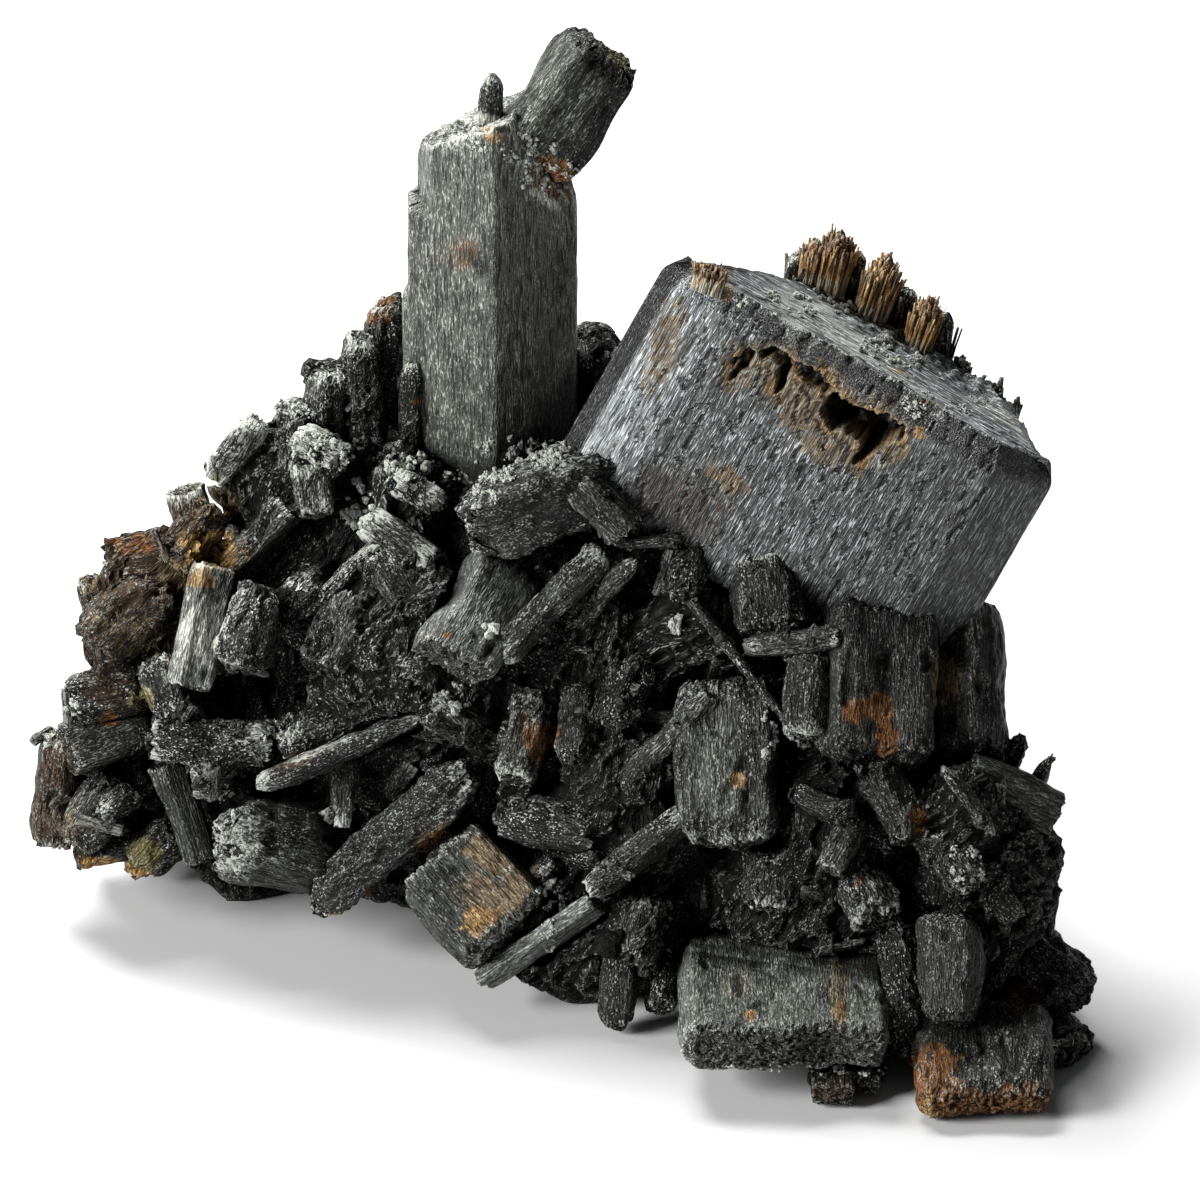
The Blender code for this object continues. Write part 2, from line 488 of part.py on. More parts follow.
def joined_to(start):
    """Every vertex that edges join to this one."""
    found, todo = {start}, [start]
    while todo:
        vertex = todo.pop()
        for edge in vertex.link_edges:
            other = edge.other_vert(vertex)
            if other not in found:
                found.add(other)
                todo.append(other)
    return found


def settle(obj):
    """Makes the modifiers' result the mesh, and keeps its largest body: chips and bubbles go."""
    graph = bpy.context.evaluated_depsgraph_get()
    mesh = bpy.data.meshes.new_from_object(obj.evaluated_get(graph))
    obj.modifiers.clear()
    bm = bmesh.new()
    bm.from_mesh(mesh)
    bmesh.ops.triangulate(bm, faces=bm.faces)
    left = set(bm.verts)
    bodies = []
    while left:
        bodies.append(joined_to(next(iter(left))))
        left -= bodies[-1]
    bodies.sort(key=len)
    for body in bodies[:-1]:
        bmesh.ops.delete(bm, geom=list(body), context="VERTS")
    bm.to_mesh(mesh)
    bm.free()
    obj.data = mesh


def finish(obj, colour, roughness):
    """Gives the object a material of its own."""
    material = bpy.data.materials.new(obj.name)
    material.use_nodes = True
    shader = material.node_tree.nodes["Principled BSDF"]
    shader.inputs["Base Color"].default_value = (*colour, 1)
    shader.inputs["Roughness"].default_value = roughness
    shader.inputs["Metallic"].default_value = 0.0
    obj.data.materials.clear()
    obj.data.materials.append(material)


def corners_of(obj):
    """The low and high corners of the object's box in the world."""
    points = [obj.matrix_world @ Vector(corner) for corner in obj.bound_box]
    low = Vector([min(p[i] for p in points) for i in range(3)])
    high = Vector([max(p[i] for p in points) for i in range(3)])
    return low, high


def near(a, b):
    """Whether two objects' boxes overlap."""
    (a_low, a_high), (b_low, b_high) = corners_of(a), corners_of(b)
    return all(a_low[i] < b_high[i] and b_low[i] < a_high[i] for i in range(3))


def own_crystals(parts, cutters):
    """The crystals that are objects, each with the grown copy that its neighbours are cut by."""
    placed = []
    for name, build in (("tall_crystal", tall_crystal), ("blocky_crystal", blocky_crystal)):
        obj = build(name, parts, cutters)
        placed.append((obj, build(f"{name}_socket", cutters, cutters, GAP)))
    for i, (name, crystal) in enumerate(OWN.items()):
        obj = stand_crystal(name, crystal, i, parts)
        placed.append((obj, stand_crystal(f"{name}_socket", crystal, i, cutters, GAP)))
    bpy.context.view_layer.update()
    for i, (later, _) in enumerate(placed):
        for _, socket in placed[:i]:
            if near(later, socket):
                combine(later, socket, "DIFFERENCE")
    return placed


def crystal_mass(placed, parts, cutters):
    """The intergrown mass: lumps of matrix and small crystals, less a socket for each big crystal."""
    mass = new_object("crystal_mass", lump_mesh(LUMPS[0], 0), parts)
    mass.location = Vector(LUMPS[0].centre) * MM
    for i, lump in enumerate(LUMPS[1:]):
        obj = new_object(f"lump_{i}", lump_mesh(lump, i), cutters)
        obj.location = Vector(lump.centre) * MM
        combine(mass, obj, "UNION")
    for i, crystal in enumerate(FUSED + hidden_crystals()):
        combine(mass, stand_crystal(f"fused_{i}", crystal, FUSED_SEED + i, cutters), "UNION")
    for _, socket in placed:
        combine(mass, socket, "DIFFERENCE")
    below = box("ground", GROUND, (0, 0, -GROUND[2] / 2), cutters)
    combine(mass, below, "DIFFERENCE")
    return mass


def main():
    for obj in list(bpy.data.objects):
        bpy.data.objects.remove(obj, do_unlink=True)
    parts = bpy.data.collections.new(NAME)
    cutters = bpy.data.collections.new("cutters")
    for collection in (parts, cutters):
        bpy.context.scene.collection.children.link(collection)
    placed = own_crystals(parts, cutters)
    mass = crystal_mass(placed, parts, cutters)
    middle = bpy.data.objects.new("middle", None)
    parts.objects.link(middle)
    middle.location = Vector((0, -CENTRE_BACK, 0)) * MM
    for obj in [obj for obj, _ in placed] + [mass]:
        settle(obj)
        finish(obj, *COLOURS.get(obj.name, PLAIN_COLOUR))
        obj.parent = middle


main()
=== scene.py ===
"""Amphibole specimen: a pile of black, fibrous amphibole crystals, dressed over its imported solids.

Every crystal is a numpy surface in mm: an outline carried along the fibres, closed by broken ends.
All of its relief is noise that is stretched along the fibres, so that sides show grooves and dashes
and ends show the cut bundles. Crystals are placed as seen square on to the leaning display face:
(across, up, back) in mm, with `back` the true distance along +Y.
"""

import logging
import math
import random
from dataclasses import dataclass, field
from enum import Enum
from typing import Callable

import bmesh
import bpy
import numpy as np
from mathutils import Matrix


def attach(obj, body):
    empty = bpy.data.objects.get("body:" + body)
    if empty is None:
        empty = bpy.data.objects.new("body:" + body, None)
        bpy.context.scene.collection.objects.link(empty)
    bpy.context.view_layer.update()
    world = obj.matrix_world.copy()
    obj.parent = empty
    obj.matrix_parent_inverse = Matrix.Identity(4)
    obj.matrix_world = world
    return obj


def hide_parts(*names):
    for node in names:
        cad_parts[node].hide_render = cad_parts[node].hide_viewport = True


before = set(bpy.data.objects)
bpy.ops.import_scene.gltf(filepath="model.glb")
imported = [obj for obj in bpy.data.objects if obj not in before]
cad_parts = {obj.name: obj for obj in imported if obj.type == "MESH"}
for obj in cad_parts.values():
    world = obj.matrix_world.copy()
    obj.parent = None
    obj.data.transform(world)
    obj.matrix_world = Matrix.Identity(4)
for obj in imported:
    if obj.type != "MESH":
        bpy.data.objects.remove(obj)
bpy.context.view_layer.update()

Array = np.ndarray
LOG = logging.getLogger("amphibole")
MM = 0.001
LEAN = math.radians(30)  # the display face is looked at from this far above level
SIGHT = np.array([0.0, -math.cos(LEAN), math.sin(LEAN)])  # from the pile towards the viewer
PALE_FROM = 0.7  # crystals paler than this have the grey-green finish
CENTRE_BACK = 5.3  # mm from the placing frame back to the middle of the finished specimen
MASS = "crystal_mass"


# ---------------- noise and small array tools


def lattice(cell: Array, seed: int) -> Array:
    """A fixed random number for each whole-numbered cell: its coordinates are mixed by primes.

    Args:
        cell: Whole numbers, with the coordinates on the last axis, two or three of them.
        seed: Tells one pattern from another.

    Returns:
        Numbers from 0 to 1, without the last axis.
    """
    mixed = cell[..., 0] * 374761393 + cell[..., 1] * 668265263 + seed * 974711
    if cell.shape[-1] > 2:
        mixed = mixed + cell[..., 2] * 1440670441
    mixed = mixed & 0xFFFFFFFF
    mixed = ((mixed ^ (mixed >> 15)) * 2246822519) & 0xFFFFFFFF
    mixed = ((mixed ^ (mixed >> 13)) * 3266489917) & 0xFFFFFFFF
    return (mixed ^ (mixed >> 16)) / 4294967296.0


def smooth_noise(points: Array, seed: int) -> Array:
    """Noise between -1 and 1: the eight corners of a point's cell, blended by how near they are.

    Args:
        points: Places, in cells of the noise.
        seed: Tells one pattern from another.

    Returns:
        The noise, without the last axis.
    """
    base = np.floor(points).astype(np.int64)
    part = points - base
    part = part * part * (3 - 2 * part)
    total = np.zeros(points.shape[:-1])
    for corner in np.ndindex(2, 2, 2):
        weight = np.prod(np.where(corner, part, 1 - part), axis=-1)
        total += weight * lattice(base + np.array(corner), seed)
    return total * 2 - 1


def fractal(points: Array, octaves: int, seed: int) -> Array:
    """A sum of noises, each twice as fine and half as strong as the one before.

    Args:
        points: Places, in the largest cells.
        octaves: How many noises are added.
        seed: Tells one pattern from another.

    Returns:
        The sum, without the last axis.
    """
    total = np.zeros(points.shape[:-1])
    for i in range(octaves):
        total += smooth_noise(points * 2.0**i, seed + 31 * i) * 0.5**i
    return total


def patchwork(points: Array, seed: int) -> Array:
    """One random height, -1 to 1, for each cell of a plane or of space.

    A cell is what is nearest to one of a set of points, one point at a random place in each unit
    square or cube. Across the fibres it is a cut bundle, in the matrix it is a shard.

    Args:
        points: Places with two or three coordinates, in cell widths.
        seed: Tells one pattern from another.

    Returns:
        The height of each place's cell.
    """
    sides = points.shape[-1]
    base = np.floor(points).astype(np.int64)
    nearest = np.full(points.shape[:-1], np.inf)
    height = np.zeros(points.shape[:-1])
    for shift in np.ndindex(*[3] * sides):
        cell = base + np.array(shift) - 1
        spot = np.stack([lattice(cell, seed + i) for i in range(sides)], axis=-1)
        gap = np.sum((cell + spot - points) ** 2, axis=-1)
        closer = gap < nearest
        nearest = np.where(closer, gap, nearest)
        height = np.where(closer, lattice(cell, seed + sides), height)
    return height * 2 - 1


def ease(value: Array, low: float, high: float) -> Array:
    """0 below `low`, 1 above `high`, and a smooth S between them."""
    part = np.clip((value - low) / (high - low), 0, 1)
    return part * part * (3 - 2 * part)


def at_level(flat: Array, level: Array | float) -> Array:
    """Points of a crystal's section, each with its level along the fibres as a third number."""
    return np.concatenate([flat, np.broadcast_to(level, flat.shape[:-1])[..., None]], axis=-1)


def unit(vector: Array) -> Array:
    """The vectors on the last axis, made one long."""
    return vector / np.maximum(np.linalg.norm(vector, axis=-1, keepdims=True), 1e-12)


def place(across: float, up: float, back: float) -> Array:
    """The true place, in mm, of a point given as seen on the leaning face."""
    height = (up - back * math.sin(LEAN)) / math.cos(LEAN)
    return np.array([across, back - CENTRE_BACK, height])


def seen(points: Array) -> tuple[Array, Array]:
    """How far across and up the leaning view true places are: undoes `place`."""
    level = points[..., 1] + CENTRE_BACK
    return points[..., 0], points[..., 2] * math.cos(LEAN) + level * math.sin(LEAN)


def ring_of(outline: Array, step: float, roundings: int = 1) -> Array:
    """The outline as evenly spaced points, its corners eased.

    Args:
        outline: Corners in mm, anticlockwise.
        step: The spacing in mm.
        roundings: How many times each point is averaged with its two neighbours.

    Returns:
        The ring's points, one row each, a multiple of four of them.
    """
    closed = np.vstack([outline, outline[:1]])
    reach = np.concatenate([[0], np.cumsum(np.linalg.norm(np.diff(closed, axis=0), axis=1))])
    count = 4 * max(3, round(reach[-1] / step / 4))
    at = np.linspace(0, reach[-1], count, endpoint=False)
    ring = np.stack([np.interp(at, reach, closed[:, i]) for i in (0, 1)], axis=1)
    for _ in range(roundings):
        ring = (np.roll(ring, 1, axis=0) + 2 * ring + np.roll(ring, -1, axis=0)) / 4
    return ring


# ---------------- surfaces


NO_TRIANGLES = np.empty((0, 3), int)
NO_QUADS = np.empty((0, 4), int)


@dataclass
class Shell:
    """A closed surface, or several: points in mm, faces, and what each point wears."""

    points: Array
    quads: Array
    triangles: Array
    fibre: Array  # place along and across the fibres, in mm
    wear: Array  # share of broken end, of dust and of paleness
    flat: bool = False  # whether every face is shaded flat; else only the broken ends are

    @staticmethod
    def joined(shells: list["Shell"]) -> "Shell":
        """Several surfaces as one, each with its own numbering moved up.

        Args:
            shells: The surfaces.

        Returns:
            The one surface, flat where the first is.
        """
        starts = np.cumsum([0] + [len(shell.points) for shell in shells])
        pairs = list(zip(shells, starts))
        return Shell(
            np.concatenate([shell.points for shell in shells]),
            np.concatenate([shell.quads + start for shell, start in pairs]),
            np.concatenate([shell.triangles + start for shell, start in pairs]),
            np.concatenate([shell.fibre for shell in shells]),
            np.concatenate([shell.wear for shell in shells]),
            shells[0].flat,
        )

    @property
    def size(self) -> int:
        """How many triangles the surface has."""
        return len(self.quads) * 2 + len(self.triangles)


def tube_quads(rows: int, columns: int) -> Array:
    """Quads of a grid that is closed round, facing out; its points are numbered row by row.

    Args:
        rows: Rows of the grid.
        columns: Points of each row.

    Returns:
        Four point numbers a row.
    """
    row, column = np.meshgrid(np.arange(rows - 1), np.arange(columns), indexing="ij")
    after = (column + 1) % columns
    corners = (
        row * columns + column, row * columns + after,
        (row + 1) * columns + after, (row + 1) * columns + column,
    )
    return np.stack(corners, axis=-1).reshape(-1, 4)


def tube_faces(rows: int, columns: int) -> tuple[Array, Array]:
    """Faces of a closed tube with a pole at each end, facing out.

    The grid's points come first, row by row, then the pole below the first row and the pole above
    the last one.

    Args:
        rows: Rows of the grid, from the foot to the head.
        columns: Points of each row, anticlockwise round the axis.

    Returns:
        The quads and the triangles.
    """
    here = np.arange(columns)
    there = (here + 1) % columns
    last = (rows - 1) * columns
    foot = np.stack([np.full(columns, rows * columns), there, here], axis=1)
    head = np.stack([np.full(columns, rows * columns + 1), last + here, last + there], axis=1)
    return tube_quads(rows, columns), np.concatenate([foot, head])


def bunch_of_tubes(
    points: Array, fibre: Array, wear: Array, rows: int, columns: int,
    flat: bool = False,
) -> Shell:
    """Many closed tubes as one surface.

    Args:
        points: The points of each tube: its grid, row by row, then its two poles.
        fibre: Their places along and across the fibres.
        wear: What they wear.
        rows: Rows of each grid.
        columns: Points of each row.
        flat: Whether the faces are shaded flat.

    Returns:
        The surface.
    """
    quads, triangles = tube_faces(rows, columns)
    each = np.arange(len(points))[:, None, None] * points.shape[1]
    return Shell(
        points.reshape(-1, 3), (quads[None] + each).reshape(-1, 4),
        (triangles[None] + each).reshape(-1, 3), fibre.reshape(-1, 3), wear.reshape(-1, 3), flat,
    )


@dataclass(frozen=True)
class EndGrid:
    """A square grid that is laid into a ring, so that a broken end has even faces.

    The square's border runs round the ring. A point of the square lies on the line from the ring's
    middle to the ring's point that has the same place on the border, as far out as the square
    that it is on is large.
    """

    share: Array  # how far out each point is, 0 to 1
    at: Array  # its place round the ring, in points of the ring
    border: Array  # whether it is one of the ring's own points

    @staticmethod
    def of(columns: int) -> "EndGrid":
        """The grid that fits a ring of this many points.

        Args:
            columns: Points of the ring, a multiple of four.

        Returns:
            The grid.
        """
        line = np.linspace(-1, 1, columns // 4 + 1)
        x, y = np.meshgrid(line, line, indexing="ij")
        out = np.maximum(np.abs(x), np.abs(y))
        safe = np.maximum(out, 1e-9)
        x, y = x / safe, y / safe
        quarter = np.select(
            [(y <= -1) & (x < 1), (x >= 1) & (y < 1), (y >= 1) & (x > -1)],
            [(x + 1) / 2, 1 + (y + 1) / 2, 2 + (1 - x) / 2], 3 + (1 - y) / 2,
        )
        at = quarter * columns / 4 % columns
        return EndGrid(out.ravel(), at.ravel(), (out > 1 - 1e-9).ravel())

    def of_ring(self, values: Array) -> Array:
        """What a ring's values are at each point's place round it, blended between neighbours.

        Args:
            values: One row for each point of the ring.

        Returns:
            One row for each point of the grid.
        """
        first = np.floor(self.at + 1e-9).astype(int) % len(values)
        part = (self.at - np.floor(self.at + 1e-9))[:, None]
        return values[first] * (1 - part) + values[(first + 1) % len(values)] * part

    def quads(self, ring_start: int, inner_start: int, facing_head: bool) -> Array:
        """The end's faces.

        Args:
            ring_start: The number of the ring's first point.
            inner_start: The number of the first point inside it.
            facing_head: Whether the end faces along the axis.

        Returns:
            Quads that face out.
        """
        number = np.where(self.border, ring_start + np.round(self.at).astype(int), 0)
        number[~self.border] = inner_start + np.arange((~self.border).sum())
        side = math.isqrt(len(number))
        grid = number.reshape(side, side)
        corners = [grid[:-1, :-1], grid[1:, :-1], grid[1:, 1:], grid[:-1, 1:]]
        if not facing_head:
            corners.reverse()
        return np.stack(corners, axis=-1).reshape(-1, 4)


@dataclass(frozen=True)
class Grain:
    """The relief of a crystal, in mm: its height on the sides and on the broken ends."""

    layer: float = 0.28  # steps between flaked layers
    groove: float = 0.14  # long grooves
    dash: float = 0.07  # short dashes
    chip: float = 0.8  # chips out of the sides
    knob: float = 0.08  # bumps that keep to no direction
    ragged: float = 0.8  # how uneven the ends are
    bundle: float = 0.9  # the width of a bundle of fibres
    lump: float = 0.0  # slow swells and bends


# How large each kind of relief is, in mm: across, through and along the fibres.
LAYER_SIZE = (3.6, 3.6, 16.0)
GROOVE_SIZE = (0.85, 0.85, 7.0)
DASH_SIZE = (0.38, 0.38, 1.7)
CHIP_SIZE = (2.0, 2.0, 3.2)
KNOB_SIZE = (1.1, 1.1, 1.7)
LUMP_SIZE = (3.4, 3.4, 5.5)
BROKEN_SIZE = (2.6, 2.6, 4.5)
LAYERS_A_UNIT = 3.2  # flaked layers in one unit of noise
CHIP_FROM = 0.38  # noise above this is cut off as a chip
END_WEAR = 0.8  # mm from an end over which its wear fades


@dataclass
class Prism:
    """A fibrous crystal: an outline carried along its axis and closed by two broken ends."""

    outline: Array
    origin: Array
    axes: Array  # rows: across, towards the front, along the fibres
    low: float
    high: float
    seed: int
    taper: float = 1.0
    step: float = 0.3
    grain: Grain = field(default_factory=Grain)
    look: "Look" = field(default_factory=lambda: Look())
    rightwards: float = 1.0  # -1 where the section's first axis runs to the viewer's left
    draw_out: float = 1.0  # how many times longer than usual the marks on the fibres are

    def head_level(self, flat: Array) -> Array:
        """The height of the head over each point of the section."""
        return np.full(flat.shape[:-1], self.high)

    def carve(self, flat: Array, level: Array) -> Array:
        """How far the crystal's own features stand out of its side, in mm."""
        return np.zeros(level.shape)

    def paleness(self, flat: Array, level: Array) -> Array:
        """How pale each point is: the right part may differ from the left; on the tall and tilted
        crystals it is darker as painted shade.

        Args:
            flat: Points of the section, in mm.
            level: Their levels along the fibres, in mm.

        Returns:
            Paleness from 0 to 1.
        """
        right = ease(self.rightwards * flat[..., 0] - self.look.split, -0.35, 0.35)
        other = self.look.pale if self.look.right is None else self.look.right
        cloud = 0.16 * fractal(at_level(flat, level) / 3.0, 2, self.seed + 3)
        return np.clip(self.look.pale + (other - self.look.pale) * right + cloud, 0, 1)

    def relief(self, flat: Array, level: Array) -> Array:
        """How far each point of the side stands out.

        Noises are added: one that is rounded to whole steps gives flaked layers, two finer ones
        give grooves and dashes, the tops of one more are cut off as chips, and the last gives
        knobs. All but the last two are drawn out along the fibres.

        Args:
            flat: Points of the section, in mm.
            level: Their levels along the fibres, in mm.

        Returns:
            How far each point stands out, in mm.
        """
        grain = self.grain
        place_in = at_level(flat, level)
        layers = fractal(place_in / LAYER_SIZE, 2, self.seed)
        grooves = fractal(place_in / GROOVE_SIZE, 2, self.seed + 5)
        dashes = smooth_noise(place_in / DASH_SIZE, self.seed + 9)
        chips = fractal(place_in / CHIP_SIZE, 3, self.seed + 13)
        knobs = fractal(place_in / KNOB_SIZE, 3, self.seed + 15)
        raised = grain.layer * np.round(layers * LAYERS_A_UNIT) / LAYERS_A_UNIT
        raised = raised + grain.groove * grooves
        raised = raised + grain.dash * dashes + grain.knob * knobs
        if grain.lump:
            raised = raised + grain.lump * smooth_noise(place_in / LUMP_SIZE, self.seed + 27)
        return raised - grain.chip * np.clip(chips - CHIP_FROM, 0, 1)

    def break_off(self, flat: Array, seed: int) -> Array:
        """How uneven a broken end is at each point: wide bundles, fine bundles and a slow swell.

        Args:
            flat: Points of the section, in mm.
            seed: Tells one end from the other.

        Returns:
            How far each point's fibres reach past the end, in mm.
        """
        grain = self.grain
        wide = patchwork(flat / grain.bundle, seed)
        fine = patchwork(flat / (grain.bundle * 0.36), seed + 3)
        swell = smooth_noise(at_level(flat / 4.5, 0.5), seed + 7)
        return grain.ragged * (0.22 * wide + 0.24 * fine + 0.8 * swell - 0.35)

    def end(
        self, grid: EndGrid, ring: Array, level_of: Callable[[Array], Array]
    ) -> Array:
        """The points inside a broken end: the ring drawn in, at the level of the broken fibres.

        Args:
            grid: The grid that fits the ring.
            ring: The last row of the side.
            level_of: Gives points of the section their levels.

        Returns:
            The points, in the crystal's own axes.
        """
        middle = ring.mean(axis=0)
        flat = middle + (grid.of_ring(ring) - middle) * grid.share[:, None]
        flat = flat[~grid.border]
        return at_level(flat, level_of(flat))

    def drawn_in(self, along: Array) -> Array:
        """How far the sides draw in towards rounded ends, in mm.

        Args:
            along: Where each row is, 0 at the foot and 1 at the head.

        Returns:
            0 in the middle, and more by the square of how far a row is into an end's rounding.
        """
        soft = self.look.soft
        if not soft:
            return np.zeros(along.shape)
        near = np.minimum(along, 1 - along) * (self.high - self.low)
        half = np.ptp(self.outline, axis=0).min() / 2
        return min(1.1 * soft, 0.42 * half) * np.clip(1 - near / soft, 0, 1) ** 2

    def end_fibre(self, local: Array) -> Array:
        """The fibre coordinates of points inside the head."""
        return local

    def shell(self) -> Shell:
        """The crystal's surface in the frame.

        Returns:
            A closed surface that carries its fibre coordinates and its wear.
        """
        ring = ring_of(self.outline, self.step, self.look.corners)
        run = np.roll(ring, -1, axis=0) - np.roll(ring, 1, axis=0)
        out = unit(np.stack([run[:, 1], -run[:, 0]], axis=1))
        middle = ring.mean(axis=0)
        rows = max(4, round((self.high - self.low) / self.step)) + 1
        along = np.linspace(0, 1, rows)[:, None]
        scale = 1 + (self.taper - 1) * along
        flat = middle + (ring - middle)[None] * scale[..., None]
        flat = flat - out[None] * self.drawn_in(along)[..., None]
        if self.grain.lump:
            at = np.concatenate([along * (self.high - self.low) / 5.0, along * 0 + 0.5], axis=1)
            bend = [smooth_noise(np.insert(at, 1, i, axis=1), self.seed + 23) for i in (0.3, 5.3)]
            flat = flat + self.grain.lump * np.stack(bend, axis=1)[:, None]
        foot = self.foot_at(flat)
        head = self.head_at(flat)
        level = foot + along * (head - foot)
        pale = self.paleness(flat, level)
        to_end = np.minimum(level - foot, head - level)
        at = at_level(flat, level)
        worn = smooth_noise(at / 1.1, self.seed + 17)
        worn = 0.6 * self.grain.ragged * np.exp(-to_end / END_WEAR) * (0.5 + 0.5 * worn)
        broken = fractal(at / BROKEN_SIZE, 2, self.seed + 19) + 2 * self.look.broken - 1
        torn = 0.35 + min(0.8 * self.look.soft, 1.6) + 0.5 * smooth_noise(at / 1.3, self.seed + 29)
        torn = ease(torn - to_end, 0, 0.4) * self.look.head_broken
        broken = np.maximum(ease(broken, -0.1, 0.15), np.maximum(torn, 0.8 * np.exp(-to_end / 0.5)))
        out_by = self.relief(flat, level) + self.carve(flat, level) - worn
        flat = flat + out[None] * out_by[..., None]
        grid = EndGrid.of(len(ring))
        ends = [self.end(grid, flat[0], self.foot_at), self.end(grid, flat[-1], self.head_at)]
        side = at_level(flat, level).reshape(-1, 3)
        local = np.concatenate([side, *ends])
        fibre = np.concatenate([side, ends[0], self.end_fibre(ends[1])])
        fibre = fibre * [self.draw_out**0.5, self.draw_out**0.5, 1 / self.draw_out]
        quads = np.concatenate([
            tube_quads(rows, len(ring)), grid.quads(0, len(side), False),
            grid.quads(len(side) - len(ring), len(side) + len(ends[0]), True),
        ])
        in_end = np.ones(len(ends[0]))
        head_pale = pale[-1].mean() if self.look.head_pale is None else self.look.head_pale
        wear = np.stack([
            np.concatenate([broken.ravel(), in_end, in_end * self.look.head_broken]),
            self.look.dusty * np.concatenate([
                (0.3 + np.exp(-to_end / END_WEAR)).ravel(), in_end * 0.45, in_end * 0.45
            ]),
            np.concatenate([pale.ravel(), in_end * pale.mean(), in_end * head_pale]),
        ], axis=1)
        shift = np.array([self.seed * 3.7 % 97, self.seed * 1.9 % 89, self.seed * 5.3 % 83])
        return Shell(local @ self.axes + self.origin, quads, NO_TRIANGLES, fibre + shift, wear)

    def foot_at(self, flat: Array) -> Array:
        """The level of the broken foot at each point of the section."""
        return self.low - self.break_off(flat, self.seed + 100)

    def head_at(self, flat: Array) -> Array:
        """The level of the broken head at each point of the section."""
        return self.head_level(flat) + self.break_off(flat, self.seed + 200)


# ---------------- the crystals and their places


@dataclass(frozen=True)
class Crystal:
    """A prism from `foot` to `head`; its broad side is `turn` degrees off facing the viewer."""

    foot: tuple
    head: tuple
    wide: float
    thick: float
    turn: float = 0.0
    taper: float = 1.0
    ragged: float = 0.8

    def stand(self) -> tuple[Array, Array, float]:
        """Where the foot is, the crystal's own three axes as rows, and its length.

        Returns:
            The foot in mm, the axes and the length in mm.
        """
        foot = place(*self.foot)
        run = place(*self.head) - foot
        length = float(np.linalg.norm(run))
        axis = run / length
        front = unit(SIGHT - axis * (SIGHT @ axis))
        turn = math.radians(self.turn)
        front = front * math.cos(turn) + np.cross(axis, front) * math.sin(turn)
        return foot, np.stack([np.cross(front, axis), front, axis]), length

    def outline(self, seed: int) -> Array:
        """The six corners of the section, in mm, as its solid has them.

        Args:
            seed: The seed of its solid.

        Returns:
            One corner a row.
        """
        rng = random.Random(seed)
        chamfer = min(self.wide, self.thick) * rng.uniform(0.12, 0.26)
        skew = abs(self.thick * rng.uniform(-0.16, 0.16))
        x, y = self.wide / 2, self.thick / 2
        half = [(x, skew), (x - chamfer, y), (chamfer - x, y)]
        return np.array(half + [(-a, -b) for a, b in half])


@dataclass(frozen=True)
class Look:
    """How a crystal differs from its neighbours."""

    pale: float = 0.2
    dusty: float = 0.3
    knob: float = 0.08  # mm, see Grain
    # On the tall and tilted crystals a darker `right` is painted shade, on the side turned from the
    # key light.
    right: float | None = None  # how pale it is to the right of `split`, where that differs
    split: float = 0.0  # mm across the section from its middle
    soft: float = 0.0  # mm from each end over which the section draws in
    broken: float = 0.12  # share of the sides that is broken rather than smooth
    head_broken: float = 1.0
    head_pale: float | None = None
    chip: float = 0.8
    corners: int = 2  # how many times the section's corners are eased


OWN = {
    "front_block": Crystal((22, 1.6, -8), (22, -8.4, -28), 21.5, 5.4, 0, 1, 1),
    "tilted_crystal": Crystal((-4, 80.3, 19.5), (4.6, 91.6, 23), 9.5, 7.4, 24, 0.98, 0.9),
    "top_stub": Crystal((-7.4, 81, 19.5), (-7.3, 89.2, 19.5), 3.3, 3, 10, 0.75, 0.5),
    "shield_crystal": Crystal((16.2, 29, 0), (16.6, 12.2, -11), 11.6, 6, 8, 0.95, 0.9),
    "rounded_crystal": Crystal((-10, 44.2, 8), (7.2, 49.4, 9), 9.6, 9.6, 20, 0.92, 1.2),
    "striated_block": Crystal((-5.6, 39.2, 8), (-11.2, 30, -1.5), 8.8, 5.6, -6, 1, 1.2),
    "diagonal_crystal": Crystal((-25.2, 5.6, 1), (-9.2, 19.6, -2), 5.8, 5.8, 12, 1, 1),
    "stained_block": Crystal((-12.8, 11, -2.6), (-5.2, 3, -9.4), 11.6, 6.4, -5, 1, 0.8),
    "under_crystal": Crystal((31.5, 36, 2), (30.8, 20.5, -9), 12, 8, -14, 1, 1),
    "flank_crystal": Crystal((39.6, 36.5, 6), (40.2, 20.5, -5), 8.6, 8, 22, 1, 1),
    "rusty_foot": Crystal((41.5, -4.5, -19), (41.8, -13.8, -31.6), 14.2, 4.6, 0, 1, 1),
    "pillar_crystal": Crystal((38.8, 5.6, -17.5), (38.4, -6, -25.5), 6.6, 6, 14, 0.95, 0.8),
    "corner_crystal": Crystal((44, 1.2, -10), (51.8, -3, -14.8), 8.6, 8.2, 30, 0.9, 1.3),
    "left_block": Crystal((-22.4, 11, 6), (-34.4, 12.6, 1.5), 9.6, 8.6, 20, 0.9, 1.3),
    "pale_slab": Crystal((-35.2, 40, 13), (-37.8, 28, 6.5), 4.6, 3.4, -24, 1, 0.6),
    "flank_slab": Crystal((-39.8, 20.4, 8), (-36.2, 10, 3.5), 4, 2.8, -20, 1, 0.8),
    "long_slab": Crystal((-6.4, 30.8, -1), (4, 41.9, 3.5), 3.6, 3, -30, 0.95, 0.9),
    "rust_edged_plate": Crystal((-30.4, 18.2, 0.5), (-14, 25, 2), 2.3, 5, 0, 1, 0.8),
    "grey_plate": Crystal((40, 19.2, -9), (49.2, 15.2, -8.5), 5, 3, 20, 1, 0.8),
    "striated_bar": Crystal((-8.4, -1.6, -9.5), (3.4, 6.4, -9.5), 2.8, 4, -20, 1, 0.5),
    "foot_crystal": Crystal((5.6, 3, -9.5), (5.3, -6.4, -14.3), 4.2, 3.6, 10, 0.9, 0.8),
}
